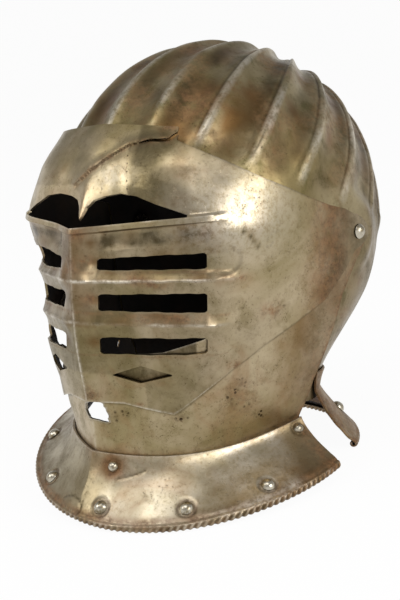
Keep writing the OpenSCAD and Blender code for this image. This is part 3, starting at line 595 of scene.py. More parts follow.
# The old crack over the brow, from beside the nose up to the right end of the tab, the gap it
# leaves there, and the crease below it: all (degrees, level)
CRACK = ((-6.3, 74), (-3, 78.6), (-0.2, 82.7), (5.2, 88.5), (7.6, 91.2), (13.4, 96.9),
         (17.6, 98.3), (21.1, 99.3), (23.3, 99.4), (27.2, 99.6), (29.2, 102.4))
CRACK_GAP = ((17.2, 98.3), (19.6, 99.6), (21.3, 100.4), (24.0, 100.2), (27.0, 100.5),
             (28.4, 102.6), (29.8, 104.6), (30.2, 103.6), (28.8, 100.6), (27.4, 98.9),
             (24.0, 98.5), (21.3, 98.7), (19.4, 98.3))
CREASE = ((14.0, 92), (14.6, 86), (15.6, 76), (16.2, 70))
BAR_CHANNEL = ((10, 42.6), (38.5, 46.4))
SLOT_CHANNEL = ((8, 29), (44.6, 32.2))
SCRATCH = ((49.2, 48.2), (50.9, 46.6), (52.4, 42.5), (54.1, 38.7))
# the lozenge, in mm across from its middle, and the angle of that middle
LOZENGE = ((-19, -36.2), (0.5, -29.6), (19.7, -34.7), (-1, -40.3))
LOZENGE_AT = 19.3
# the face's other half: its lowest slot is shorter, and rust has eaten the lower edge behind
# that slot and the lozenge, through which the ground behind the helmet shows
FAR_SLOT_OUT = 35.6
FAR_EDGE_LOSS = ragged(((-33.0, -64), (-33.6, -41), (-34.4, -36.5), (-39.0, -31),
                        (-39.3, -25), (-39.2, -13), (-44, -9.5), (-49, -13), (-53, -22),
                        (-52, -50), (-44, -64)), 0.35, 13, 3)
# knocks beside the keel, at the slots: degrees, level, height, half width, half height in mm
KNOCKS = ((4.3, 29.5, -2.0, 4.6, 4.2), (5.2, 20.6, 0.55, 7.0, 3.6), (4.6, 7.6, -1.1, 4.2, 4.0),
          (6.0, -2.4, 0.45, 7.0, 3.4), (-5.5, 24.0, 1.6, 5.0, 4.5), (-9.0, 8.5, -1.8, 7.0, 4.5),
          (-4.0, -9.0, 0.9, 4.0, 4.0), (-16.0, 31.0, 1.4, 9.0, 3.5))
# rust blooms: degrees, level, half width and half height in mm
FACE_RUST = ((19, 20.3, 8.0, 3.6), (24, 18.0, 9.6, 2.88), (30, -1.5, 14.4, 2.88),
             (22, -2.5, 12.8, 2.4), (1.5, 45, 4.8, 3.6), (3.6, 30, 4.16, 3.6), (2, -50, 4.8, 6),
             (17.8, -53.3, 2.56, 1.2), (39.5, 49, 3.2, 2.4), (-1, 26, 6.4, 6),
             (29, 108, 9.6, 3.6), (48, 22, 8.0, 2.4), (-3, 52, 6.4, 2.4), (5, 8, 4.8, 3.6),
             (60, 2, 8.0, 4.8), (48, -30, 4.8, 3.0))
# brown stains at the ends of the bars and slots: degrees, level
FACE_STAINS = ((6.4, 30.0), (6.2, 8.0), (5.6, 40.5), (38.5, 46.0), (5.6, -17.0))


def make_visor():
    """The visor: named rows with finer rows between, and cells left out for its openings."""
    stops = (0, SLOT_IN, EYE_END, FAR_SLOT_OUT, SLOT_OUT, 52, 90, VISOR_END)
    left, other = (np.concatenate([np.linspace(a, b, n, endpoint=False) for a, b, n in
                                   zip(stops[:-1], stops[1:], many)] + [[stops[-1]]])
                   for many in ((14, 56, 3, 6, 22, 40, 16), (12, 38, 2, 6, 18, 33, 14)))
    angles = np.concatenate([-other[:0:-1], left])
    named = np.append(np.repeat(np.arange(TOP_ROW + 1), ROW_STEPS), TOP_ROW)
    f = np.append(np.concatenate([np.arange(n) / n for n in ROW_STEPS]), 1.0)[:, None]

    def at_rows(*rows):
        """1 on the finer rows that begin at the named ones."""
        return np.isin(named, rows)[:, None]

    t = np.abs(angles)
    zs, ups = (np.array(rows) for rows in zip(*[visor_row(i, t) for i in range(TOP_ROW + 2)]))
    for i in (3, 2, 1):
        # the lowest rows run together at the sides, but never cross
        zs[i] = np.minimum(zs[i], zs[i + 1] - 0.008 * (zs[TOP_ROW] - zs[0]))
    # the upper slot of the other half is pulled wider
    pulled = (angles < 0) * blob((t - 24) / 11)
    zs[10], zs[11] = zs[10] - 2.0 * pulled, zs[11] + 1.6 * pulled
    z = mix(zs[named], zs[named + 1], f)
    # a rib is drawn up to a crest between two hollow sides
    bend = (at_rows(5, 8) * f ** 1.35 + at_rows(6, 9) * (1 - (1 - f) ** 1.35)
            + ~at_rows(5, 6, 8, 9) * f)
    up = mix(ups[named], ups[named + 1], bend)
    th = np.broadcast_to(angles, z.shape).copy()
    ta = np.abs(th)
    rough = spot(th, visor_r(ta, z), z)
    # sunk channels with round ends: the bar under the lip, and the upper slot's own
    bar = from_line(ta, z, BAR_CHANNEL, CHANNEL_MM)
    slot = from_line(ta, z, SLOT_CHANNEL, CHANNEL_MM)
    up = (up - 1.5 * ease((6.2 - bar) / 3.2) * ease((ta - 5) / 4)
          - 1.7 * ease((9.5 - slot) / 3.5) * ease((ta - 37) / 5))
    for a, mid, deep, wide, high in KNOCKS:
        up = up + deep * blob((th - a) * CHANNEL_MM / wide, (z - mid) / high)
    # the step at the brow crack, and the soft crease that ends the bright hollow under it
    crack = from_line(th, z, CRACK, FACE_MM)
    line_z = table(th, CRACK)
    over = np.where(z > line_z, 1.0, -1.0) * ease((34 - th) / 6) * ease((th + 12) / 6)
    up = up + (0.75 * over * blob(crack / 3.4) - 0.35 * blob(crack / 0.7)) * (named >= 16)[:, None]
    crease = from_line(th, z, CREASE, FACE_MM)
    past = np.where(th > table(z, [(level, at) for at, level in CREASE[::-1]]), 1.0, -1.0)
    on_brow = (named >= BROW_ROW)[:, None]
    up = up + on_brow * (0.7 * past * blob(crease / 4.0)
                         - 0.8 * blob((th - 5) * FACE_MM / 14, (z - 80) / 7))
    scratch = from_line(th, z, SCRATCH, SCRATCH_MM)
    up = up - 0.5 * blob(scratch / 0.9)
    # whole cells left out: the slots, the eye openings and beside the tab
    mid = np.abs((angles[1:] + angles[:-1]) / 2)
    row = named[:-1][:, None]
    out = np.where((angles[1:] < 0) & (row == SLOT_ROWS[0]), FAR_SLOT_OUT, SLOT_OUT)
    keep = ~(np.isin(row, SLOT_ROWS) & (mid > SLOT_IN) & (mid < out))
    keep &= ~((row == LIP_ROW) & (mid < EYE_END)) & ~((row == TOP_ROW) & (mid > TAB_END))
    # the lozenges, the gap of the crack and the far edge's loss are cut on flat outlines
    reach = visor_r(ta, z) + up
    for side in (1, -1):
        flat = np.stack([reach * sin(th * side - LOZENGE_AT), z], -1)
        gone, new = cut(flat, LOZENGE, (ta < 44) & (z < -22) & (z > -49) & (th * side > 0))
        moved = np.linalg.norm(new - flat, axis=-1) > 1e-6
        turned = LOZENGE_AT + np.degrees(np.arcsin(new[..., 0] / reach))
        th = np.where(moved, side * turned, th)
        z = np.where(moved, new[..., 1], z)
        keep &= ~gone
    th, z, keep = cut_out(th, z, keep, FACE_MM, (
        (CRACK_GAP, (named >= 17)[:, None] & (th > 10)),
        (FAR_EDGE_LOSS, (named < 6)[:, None] & (th < -30))))
    ta = np.abs(th)
    base = spot(th, visor_r(ta, z, 0.55) + up, z)
    lift = 0.15 * waves(rough, 40, 11) + 0.06 * waves(rough, 14, 12) - 0.15
    # where the face is worn bright: the keel, the ribs, the lip and the edges of the slots
    patchy = 0.55 + 0.4 * waves(rough, 13, 19)
    front = 1 - ease((ta - 38) / 14)
    crest = most(0 * z, *(patchy * blob(np.abs(named[:, None] + f - i) / 0.11) * front
                          for i in RIBS + (LIP_ROW,)))
    rubbed = 0.75 + 0.3 * waves(rough, 22, 14)
    keel = blob(ta / 0.4) * mix(0.85, 0.4, ease((z + 5) / 10)) * (z < 50)
    low_gap, high_gap = z - table(ta, LOW_EDGE), table(ta, HIGH_EDGE) - z
    edge = blob(low_gap / 0.7) * (1 - ease((ta - 34) / 14)) * 0.8
    # and a painted highlight lies on the temple and in the hollow under the brow
    painted_highlight = most(0.6 * blob((ta - 48) * TEMPLE_MM / 26, (z - 59) / 21),
                  0.36 * blob((th - 9) * FACE_MM / 13, (z - 79) / 8)) * (1 - blob(scratch / 1.5))
    rust = most(*(blob((th - a) * FACE_MM / wide, (z - b) / high)
                  for a, b, wide, high in FACE_RUST),
                0.7 * blob(crack / 2.2) * (z > 60),
                0.45 * (f > 0.7) * at_rows(3, 6, 9) * (ta < 46),
                0.75 * blob((ta - 84) / 9))
    under = at_rows(5, 8) * f ** 2 + at_rows(11, 12, 13) * 0.8
    over_crest = at_rows(*RIBS) * blob((f - 0.22) / 0.1)
    grime_and_shade = most(
        # dark in the crack and the scratch, painted shade in the sunk bar, and painted shadow
        # along the upper and lower edges
        0.9 * blob(crack / 0.7) * (z > 60), blob(scratch / 0.8),
        (0.85 + 0.25 * waves(rough, 12, 18)) * ease((6.0 - bar) / 3) * (ta > 6),
        0.75 * blob(high_gap / 0.8) * (ta > 30),
        0.7 * blob(low_gap / 0.8) * ease((ta - 36) / 12),
        # painted shade beside each crest and under the lip, and in the hollow between the brow's
        # crease and the temple
        0.5 * most(under * 0.6, over_crest * 1.2) * (1 - ease((ta - 38) / 10)),
        on_brow * 0.85 * ease((th - 14.8) / 3) * (1 - 0.35 * ease((th - 24) / 6))
        * (1 - ease((th - 33) / 10)),
        # darker over the crack, painted shade towards the pivots, darker over the lower face and
        # behind it, and painted shade round the rim of the upper slot's channel
        on_brow * 0.3 * (z > line_z) * (ta < 34),
        0.72 * ease((ta - 76) / 13),
        (0.46 - 0.3 * (z < -36) * (ta < 20)) * (named < 12)[:, None] * (1 - ease((ta - 36) / 20)),
        0.24 * blob((ta - 50) * TEMPLE_MM / 24, (z + 16) / 30),
        0.42 * blob((slot - 8.6) / 1.3) * ease((ta - 38) / 3) * (z > 21))
    # oxide has browned the band before the pivot, the nose and the bars
    stain = most(
        blob((ta - 85) / 9) * (0.75 + 0.25 * waves(rough, 24, 16)),
        0.55 * blob(ta / 7) * (z > -8) * (z < 52),
        (0.35 + 0.3 * waves(rough, 16, 17)) * (1 - ease((ta - 36) / 12)) * at_rows(6, 9, 11, 12),
        0.5 * blob((ta - 33) * FACE_MM / 9, (z - 41) / 7),
        *(0.9 * blob((ta - a) * FACE_MM / 4.6, (z - b) / 3.4) for a, b in FACE_STAINS))
    pitted = 0.4 * blob((ta - 62) * TEMPLE_MM / 30, (z - 15) / 34) * (waves(rough, 13, 15) > 0.9)
    # the worn mark holds the rubbed crests, keel and lower edge, and the painted highlight
    tints = {"worn": np.clip(most(most(crest, keel, edge) * rubbed, painted_highlight), 0, 1),
             "grime_and_painted_shade": grime_and_shade, "rusty": rust, "stained": np.clip(stain, 0, 1), "pitted": pitted}
    return plate("visor_plate", base, PLATE_T, lift, lift, keep, tints=tints)


# Bevor: the chin piece, behind the visor and inside the front neck plate
BEVOR_TOP = ((0, CHIN_Z), (26, CHIN_Z + 5.5), (38, CHIN_Z + 13), (50, CHIN_Z + 27),
             (62, CHIN_Z + 43), (74, PIVOT_Z - 14), (86, PIVOT_Z), (94, PIVOT_Z + 8),
             (100, PIVOT_Z + BEVOR_EAR))
BEVOR_BACK = ((-150, -28), (-110, -24), (-78, -18), (-57, -13.6), (-37, -10), (-23, -2.3),
              (-8, 0.75 * BEVOR_EAR), (0, BEVOR_EAR), (0.6 * BEVOR_EAR, 0.8 * BEVOR_EAR),
              (BEVOR_EAR, 0))


def bevor_r(th, z):
    """Radius of the bevor: the face's own form, set inside it."""
    return face_r(th, z, BEVOR_X, BEVOR_IN)


def bevor_end(z):
    """Angle of the bevor's rear edge."""
    return 90 + np.degrees(np.arctan((PIVOT_Y + table(z - PIVOT_Z, BEVOR_BACK) - MID_Y)
                                     / bevor_r(90.0, z)))


def seam_z(th):
    """Level of the bevor's seam: lowest in front, higher towards the sides by the cosine, and
    skewed by the sine."""
    return (THROAT_Z + 26 * (1 - cos(th))
            - np.where(th > 0, 0.62, 1.1) * RIM_FALL * sin(th))


def rim_r(th):
    """Radius of the front rim, an ellipse set off the polar axis."""
    return oval_r(th, RIM_W / 2, RIM_D / 2, MID_Y - RIM_MID)


def rim_level(th):
    """Level of the front rim: a leaning plane, skewed across, and raised at both sides by the
    square of the distance."""
    p = spot(th, rim_r(th), 0.0)
    x, y = 2 * p[..., 0] / RIM_W, p[..., 1]
    return RIM_Z + 0.4 + 0.259 * (y - RIM_MID + RIM_D / 2) - RIM_FALL * x + 8.6 * x * x


def front_spot(th, s):
    """The front neck plate: from the seam outwards and down to its oval rim."""
    neck = bevor_r(th, seam_z(th)) + SEAM_GAP + PLATE_T
    return spot(th, mix(neck, rim_r(th), s ** 1.5), mix(seam_z(th), rim_level(th), s))


def front_end(s):
    """Angle of the front plate's ends, which spread a little towards the rim."""
    return mix(84.5, 88, s)


def rear_spot(th, s, drop):
    """The rear neck plate: down the nape, then outwards to its own rim."""
    rim = oval_r(th, REAR_W / 2, REAR_D / 2, MID_Y - REAR_MID)
    low = FLOOR_Z + math.tan(LEAN) * (MID_Y - rim * cos(th)) - drop
    z = mix(REAR_TOP, low, s)
    neck = skull_low_r(th, z) + SEAM_GAP + PLATE_T
    return spot(th, mix(neck, rim, (np.maximum(0, s - 0.25) / 0.75) ** 1.1), z)


def rear_angle(s, part, more=0.0):
    """Angle a share of the way round the rear plate, between ends that slant down its height
    and reach so much further forward."""
    start = mix(99, 116, s) - more
    return mix(start, 360 - start, part)


def normal_of(where, th, s):
    """Outward normal of a neck plate at angles and shares of its height."""
    return unit(np.cross(where(th + 2, s) - where(th - 2, s),
                         where(th, s - 0.06) - where(th, s + 0.06)))


def turned_edge(p, q, th, phi, r=ROLL_R):
    """The rim turned inwards round a wire: circles square to the rim's own run."""
    down = unit(p - q)
    along = np.stack([cos(th), sin(th), 0 * th], -1)
    out = np.cross(along, -down)
    return p - ROLL_R * out + r * (cos(phi)[..., None] * out + sin(phi)[..., None] * down)


def rear_plate_spot(th, s):
    """The rear neck plate, raised for its turned edge to rest on the floor."""
    return rear_spot(th, s, REAR_DROP)


def lowest_rim():
    """How far the rear rim has to rise for its turned edge to rest on the floor: the least
    height over the leaning floor of the rim and of the circles round its wire."""
    th, phi = rear_angle(1.0, np.linspace(0, 1, 35)), np.arange(30, 255, 32.0)[:, None]
    rim, over = rear_spot(th, 1.0, 0), rear_spot(th, 0.93, 0)
    roll = turned_edge(rim[None], over[None], np.broadcast_to(th, (len(phi), len(th))),
                       phi + 0 * th)
    every = np.concatenate([roll.reshape(-1, 3), rim])
    return float(np.min(every[:, 2] - math.tan(LEAN) * every[:, 1]) - FLOOR_Z)


REAR_DROP = lowest_rim()

# rivets as (degrees from the front, share of the plate's height)
FRONT_SEAM = ((-80, 0.2), (7.6, 0.2), (81, 0.2))
FRONT_LINING = tuple((th, 0.8) for th in (-70, -44.2, -18.4, 7.4, 33.2, 59))
REAR_SEAM = ((130, 0.12), (180, 0.12), (230, 0.12))
REAR_LINING = ((130, 0.68), (163, 0.68), (197, 0.68), (230, 0.68))

# the bevor's losses, as outlines of (degrees, level)
FAR_LOSS = ragged(((-52, -5), (-50, -24), (-43, -40), (-33, -46), (-22, -44), (-17, -33),
                   (-19, -5)), 0.8, 9, 4)
FAR_SPLIT = ((-81.0, -34.4), (-80.0, -33.8), (-77.4, -38.2), (-78.1, -38.8))
HOLE = ragged(((-3.6, -56.4), (0.4, -53.2), (3.6, -54.2), (5.0, -57.6), (5.9, -63.0),
               (5.4, -66.2), (2.6, -65.2), (-1.6, -64.8), (-3.3, -61.0)), 0.45, 5, 3)
# families of deep pits, each a soft patch that the steel fills with holes: degrees, level,
# half width and half height in mm
BEVOR_PITS = ((46.7, -48.6, 3.2, 2.6), (49.6, -46, 3.4, 2.6), (51, -42, 3.0, 3.0),
              (54, -57.8, 3.0, 2.4), (12, -59, 3, 2), (30, -61, 4, 2), (61, -62, 4, 3),
              (8.5, -62, 2, 3))


def make_bevor():
    """The bevor: rows from its hem inside the neck plate up to its slanting upper edge."""
    near = np.concatenate([np.linspace(0, 60, 82)[:-1], np.linspace(60, 105, 46)])
    a = np.concatenate([-near[:0:-1], near])
    side, ta = np.sign(a), np.abs(a)

    def spread(end):
        """Columns level with the angles as far as 60 degrees, then stretched to an end."""
        return np.where(ta <= 60, ta, mix(60, end, (ta - 60) / 45))

    u = np.linspace(0, 1, 92)[:, None] ** 0.92
    t = spread(bevor_end(mix(seam_z(side * 88), PIVOT_Z + BEVOR_EAR, u))
               + 3.0 * (side < 0) * (u < 0.7))
    th, z = side * t, mix(seam_z(side * t), table(t, BEVOR_TOP), u)
    # the rusted hole beside the keel, the loss behind the far lozenge, and the far split
    th, z, whole = cut_out(th, z, np.ones((len(z) - 1, len(a) - 1), bool), BEVOR_MM, (
        (HOLE, (np.abs(th) < 12) & (z < -48)),
        (FAR_LOSS, (th < -15) & (th > -60) & (z > -52)),
        (FAR_SPLIT, (th < -70) & (z > -50) & (z < -25))))
    base = spot(th, face_r(np.abs(th), z, BEVOR_X, BEVOR_IN, 0.5), z)
    hem_k = np.linspace(LAP, 0.06, 12)[:, None] + 0 * a
    hem_th = np.broadcast_to(side * spread(bevor_end(seam_z(side * 88))), hem_k.shape)
    hem = front_spot(hem_th, hem_k) - (PLATE_T + SEAM_GAP) * normal_of(front_spot, hem_th, hem_k)
    base = np.concatenate([hem, base])
    keep = np.ones((len(base) - 1, len(a) - 1), bool)
    keep[len(hem):] = whole
    lift = 0.13 * waves(base, 40, 21) + 0.05 * waves(base, 15, 22) - 0.1
    lift[:len(hem) + 2] *= 0.4
    th, z = angle_of(base), base[..., 2]
    t = np.abs(th)
    from_hole = from_line(th, z, np.concatenate([HOLE, HOLE[:1]]), BEVOR_MM)
    pits = most(*(blob((th - at) * BEVOR_MM / wide, (z - level) / high)
                  for at, level, wide, high in BEVOR_PITS))
    back_gap = (bevor_end(z) - t) * 1.5
    top_gap = np.where(z > JAW_Z + 6, table(t, BEVOR_TOP) - z, 9.0)
    # painted shade where the visor covers the bevor, and a painted shadow along the visor's lower
    # edge
    cover = z - table(t, LOW_EDGE)
    grime_and_shade = most(np.clip(0.3 * pits + 0.6 * blob(from_hole / 1.2), 0, 1),
                0.8 * blob(back_gap / 0.9), 0.35 * ease((t - 70) / 14),
                0.75 * ease((cover - 6) / 6) * (t < 36) + 0.25 * ease(cover / 3),
                0.7 * blob((cover + 0.6) / 0.9) * (t < 95))
    rust = (0.6 * blob((th - 50) * BEVOR_MM / 16, (z + 50) / 14)
            + blob((z - seam_z(th)) / 3) * 0.55
            + 0.8 * blob((th - 29.5) / 1.2, (z + 61.5) / 2)
            + 0.5 * blob(back_gap / 3) + 0.3 * ease((t - 66) / 18))
    worn = most(blob(th / 0.6) * 0.3, blob(from_hole / 0.5) * 0.6) + 0.3 * blob(top_gap / 0.6)
    stain = 0.6 * ease((t - 58) / 16) * (0.8 + 0.2 * waves(base, 22, 23))
    tints = {"worn": worn, "grime_and_painted_shade": grime_and_shade, "rusty": np.clip(rust, 0, 1),
             "stained": stain, "pitted": np.clip(pits * 1.5, 0, 1)}
    return plate("bevor_plate", base, PLATE_T, lift, lift, keep, tints=tints)


# ---- the neck plates ----
def sunk_rings(base, places, where, radius):
    """How deep the plate is dished in a ring round each rivet."""
    return most(*(blob((np.linalg.norm(base - where(np.array(float(th)), np.array(float(s))),
                                       axis=-1) - radius) / 0.95) for th, s in places))


def roped_grid(where, th, s, rim_th, turns):
    """A neck plate and its turned edge as one grid, from the edge's end up to the seam: circles
    square to the rim, then the plate at shares s of its height. With it come the share, what
    lies on the edge, the depth of the rope's grooves, which slant across the edge one to each
    few millimetres of rim, and that of the line beside the rope."""
    phi = np.linspace(14, 254, turns)[:, None]
    rim, over = where(rim_th, 1 + 0 * rim_th), where(rim_th, 0.93 + 0 * rim_th)
    roll = turned_edge(rim[None], over[None], np.broadcast_to(rim_th, (turns, len(rim_th))),
                       phi + 0 * rim_th, ROLL_R - 0.12)
    base = np.concatenate([where(th, s + 0 * th), roll])[::-1]
    on_roll, around, level = (np.concatenate(rows)[::-1] + 0 * rim_th for rows in
                              ((0 * s, 1 + 0 * phi), (0 * s, phi), (s, 1 + 0 * phi)))
    steps = np.linalg.norm(np.diff(rim, axis=0), axis=-1)
    arc = np.concatenate([[0], np.cumsum(steps)])
    rope = ((0.5 - 0.5 * np.cos(2 * math.pi * (arc / ROPE_PITCH + around / ROPE_SLANT)))
            * on_roll * ease(around / 40) * ease((262 - around) / 50))
    groove = blob((level - 0.965) / 0.022) * (1 - on_roll)
    return base, level, on_roll, rope, groove


# scratches in the front plate, as (degrees, level)
GOUGE = ((10.1, -98.6), (14.1, -96.4), (18.2, -93.2))
FLAW = ((-7.4, -113.5), (-6.2, -112.2), (-3.1, -111.0), (-0.6, -112.6), (0.9, -114.9),
        (1.3, -118.0), (0.6, -119.6))


def make_front_neck_plate():
    """The front neck plate and its roped edge, dished round its rivets and gouged in front."""
    part = np.linspace(-1, 1, 620)
    s = np.concatenate([np.linspace(0, 0.86, 32), np.linspace(0.88, 1, 8)])[:, None]
    base, level, on_roll, rope, groove = roped_grid(
        front_spot, front_end(s) * part, s, front_end(1.0) * part, 20)
    off_roll = 1 - on_roll
    ring = sunk_rings(base, FRONT_LINING, front_spot, 5.3)
    seam_ring = sunk_rings(base, FRONT_SEAM, front_spot, 4.3)
    th, z = angle_of(base), base[..., 2]
    gouge, flaw = (from_line(th, z, line, FACE_MM) for line in (GOUGE, FLAW))
    dents = 0.14 * waves(base, 30, 41) + 0.05 * waves(base, 12, 42)
    lift = (dents * off_roll - 0.72 * rope - 0.5 * groove - 0.62 * ring - 0.3 * seam_ring
            - 0.3 * blob(gouge / 0.6) - 0.2 * blob(flaw / 0.7))
    # rust has spread from the middle seam rivet, and lies in a band along the rim
    seam_gap = np.linalg.norm(base - front_spot(*map(np.array, FRONT_SEAM[1])), axis=-1) / 7.5
    bloom = np.exp(-seam_gap ** 4)
    band = ease((level - 0.86) / 0.1) * off_roll
    # painted shade to the right of the keel and towards the wearer's left end, and a painted
    # highlight from the front round towards the wearer's left
    shade = 0.45 * (1 - ease((th - 1) / 4)) + 0.30 * ease((th - 70) / 12)
    pale = (0.26 * ease((th - 4) / 6) * (1 - ease((th - 34) / 14))
            + 0.6 * ease((th - 38) / 8) * (1 - ease((th - 64) / 12))) * off_roll
    pale *= (1 - bloom) * (1 - blob(gouge / 1.2)) * (1 - blob(flaw))
    worn_rope = on_roll * np.clip(1 - rope * 1.6, 0, 1) * (0.26 + 0.2 * waves(base, 12, 44))
    worn = (worn_rope + pale * (0.7 + 0.3 * waves(base, 18, 45)) + blob(level / 0.008) * 0.3)
    grime_and_shade = (0.85 * ring + 0.35 * bloom + 0.95 * rope * on_roll + 0.9 * blob(gouge / 0.6)
            + 0.5 * seam_ring + 0.6 * blob(flaw / 0.5) + shade * off_roll + 0.25 * on_roll)
    rust = (1.4 * np.exp(-seam_gap ** 3) + 0.8 * band + 0.5 * ring + 0.45 * on_roll
            + 0.9 * blob((th - 84) / 4, (level - 0.45) / 0.6) + 0.4 * blob(level / 0.03))
    stain = (0.3 * ease((th - 60) / 12) + 1.1 * bloom + 0.5 * blob((level - 0.93) / 0.06)
             + 0.55 * on_roll * (0.6 + 0.4 * waves(base, 26, 46)))
    tints = {"worn": worn, "grime_and_painted_shade": grime_and_shade, "rusty": rust, "stained": stain}
    return plate("front_neck_plate_roped", base, PLATE_T, lift, 0.0,
                 tints={key: np.clip(mark, 0, 1) for key, mark in tints.items()})


def make_rear_neck_plate():
    """The rear neck plate: a lap on the nape, a flare and a roped edge of its own."""
    part = np.linspace(0, 1, 420)
    s = np.concatenate([np.linspace(0, 0.9, 34), np.linspace(0.92, 1, 6)])[:, None]
    # the ends are broken to an uneven line, a little further forward than the construction's
    torn = 3.4 + 0.3 * np.sin(s * 13) + 0.14 * np.sin(s * 37 + 1) - 1.8 * ease((s - 0.9) / 0.1)
    base, level, on_roll, rope, groove = roped_grid(
        rear_plate_spot, rear_angle(s, part, torn), s,
        rear_angle(1.0, part, float(torn[-1, 0])), 18)
    ring = sunk_rings(base, REAR_LINING, rear_plate_spot, 5.3)
    dents = 0.18 * waves(base, 24, 51) + 0.08 * waves(base, 10, 52)
    lift = (dents * (1 - on_roll) * ease((level - 0.3) / 0.2) - 0.72 * rope - 0.5 * groove
            - 0.6 * ring)
    ends = blob(np.minimum(part, 1 - part) / 0.05) + 0 * level
    tints = {"worn": np.clip(on_roll * (1 - rope * 1.6), 0, 1) * 0.25,
             "grime_and_painted_shade": np.clip(0.8 * ring + 0.95 * rope * on_roll + 0.35 * ends + 0.3, 0, 1),
             "rusty": np.clip(0.38 + 0.45 * ends + 0.3 * groove, 0, 1)}
    return plate("rear_neck_plate_roped", base, PLATE_T, lift, 0.0, tints=tints)


# ---- rivets and bands ----
HEAD_D, HEAD_H, SEAM_D, SEAM_H = 8.5, 3.0, 6.5, 2.5
PIVOT_D, PIVOT_H, PIVOT_SHANK, PIVOT_CLENCH, WASHER_T = 9.0, 2.8, 5.0, 2.4, 1.4
SEAT, SEAM_SEAT, BURR_T, SHANK, CLENCH = 0.22, 0.35, 0.8, 3.0, 1.6
BAND_W, BAND_T = 12.0, 1.6


def rivet_profile(d, h, gap, stack, shank=SHANK, clench=CLENCH):
    """A domed head, its flat underside, the shank, and the end spread over the burr."""
    r = (h * h + d * d / 4) / (2 * h)
    up = np.linspace(0, math.asin(min(1, d / 2 / r)), 12)
    head = np.stack([r * np.sin(up), gap + h - r + r * np.cos(up)], -1)
    head[-1, 1] = gap + 0.12
    foot = -(stack + SEAT + BURR_T)
    rest = [(d / 2 - 0.12, gap), (shank / 2, gap), (shank / 2, foot - 0.1),
            (shank / 2 + clench / 2, foot - 0.15), (shank / 2 + clench / 2 - 0.1, foot - 0.6),
            (shank / 2, foot - 0.8), (0, foot - 0.8)]
    return np.concatenate([head, rest])


def rivets(name, places, where, d, h, gap, stack, seed):
    """Rivets square to their plate, each a little out of round, as if set by hand."""
    solids = []
    for k, place in enumerate(places):
        th, s = (np.array(float(value)) for value in place)
        p, q, t = turned_solid(rivet_profile(d, h, gap, stack), 40, 0.025, seed + k)
        solids.append((stood(p, where(th, s), normal_of(where, th, s)), q, t))
    return set_of_solids(name, solids)


def pivot_rivet(name, side):
    """A pivot rivet: its dome outside the visor, its end spread inside the skull."""
    head_x, end_x = VISOR_X + 0.2, SKULL_X - SKULL_T - 0.7 - WASHER_T
    stack = head_x - end_x - SEAT - BURR_T + 0.2
    p, q, t = turned_solid(rivet_profile(PIVOT_D, PIVOT_H, 0, stack, PIVOT_SHANK, PIVOT_CLENCH),
                           48, 0.015)
    at = np.array([side * head_x, PIVOT_Y, PIVOT_Z])
    return set_of_solids(name, [(stood(p, at, (side, 0, 0)), q, t)])


def lining_band(name, where, angles, s_mid, half, seed):
    """A leather strip under the plate, its long edges worn uneven."""
    rows = np.linspace(1, -1, 9)[:, None]
    th = angles[None] + 0 * rows
    frayed = waves(np.stack([th * 1.7, rows * 2 + 0 * th, 0 * th], -1), 9, seed)
    s = s_mid + rows * half * (1 - 0.10 * np.abs(frayed))
    base = where(th, s) - (PLATE_T + SEAT) * normal_of(where, th, s)
    grain = 0.06 * waves(base, 5, seed + 1)
    return plate(name, base, BAND_T * 0.92, 0.0, grain, tints={"worn": np.abs(rows) ** 4 + 0 * th})


# ---- materials ----
def linear(code):
    """A written sRGB colour as the linear one, with alpha, that a shader takes."""
    rgb = [int(code[k:k + 2], 16) / 255 for k in (1, 3, 5)]
    return (*(c / 12.92 if c <= 0.04045 else ((c + 0.055) / 1.055) ** 2.4 for c in rgb), 1.0)


def add(tree, kind, links=None, out=0, **settings):
    """One shader node with its settings, its inputs set to values or joined to the outputs of
    others. It gives back one of its own outputs, or nothing where it has none."""
    node = tree.nodes.new("ShaderNode" + kind)
    for key, value in settings.items():
        setattr(node, key, value)
    for key, value in (links or {}).items():
        if isinstance(value, bpy.types.NodeSocket):
            tree.links.new(value, node.inputs[key])
        else:
            node.inputs[key].default_value = value
    return node.outputs[out] if node.outputs else None


def blank(name):
    """An empty material and its nodes."""
    material = bpy.data.materials.new(name)
    material.use_nodes = True
    material.node_tree.nodes.clear()
    return material, material.node_tree


def finish(tree, base, height, strength, distance, **surface):
    """The end of a material: its relief, no deeper than a distance in metres, and its shader."""
    relief = add(tree, "Bump", {"Strength": strength, "Distance": distance, "Height": height})
    skin = add(tree, "BsdfPrincipled", {"Base Color": base, "Normal": relief, **surface})
    add(tree, "OutputMaterial", {"Surface": skin})


# settings that many nodes share: arithmetic held between 0 and 1, a soft range, a colour mix
TIMES, PLUS, LESS, HIGHER = (dict(operation=kind, use_clamp=True)
                             for kind in ("MULTIPLY", "ADD", "SUBTRACT", "MAXIMUM"))
SOFT, COLOUR = dict(interpolation_type="SMOOTHSTEP"), dict(data_type="RGBA", out=2)
CLOUD_INPUTS = ("Scale", "Detail", "Roughness", "Distortion")
RANGE_INPUTS = ("Value", "From Min", "From Max", "To Min", "To Max")


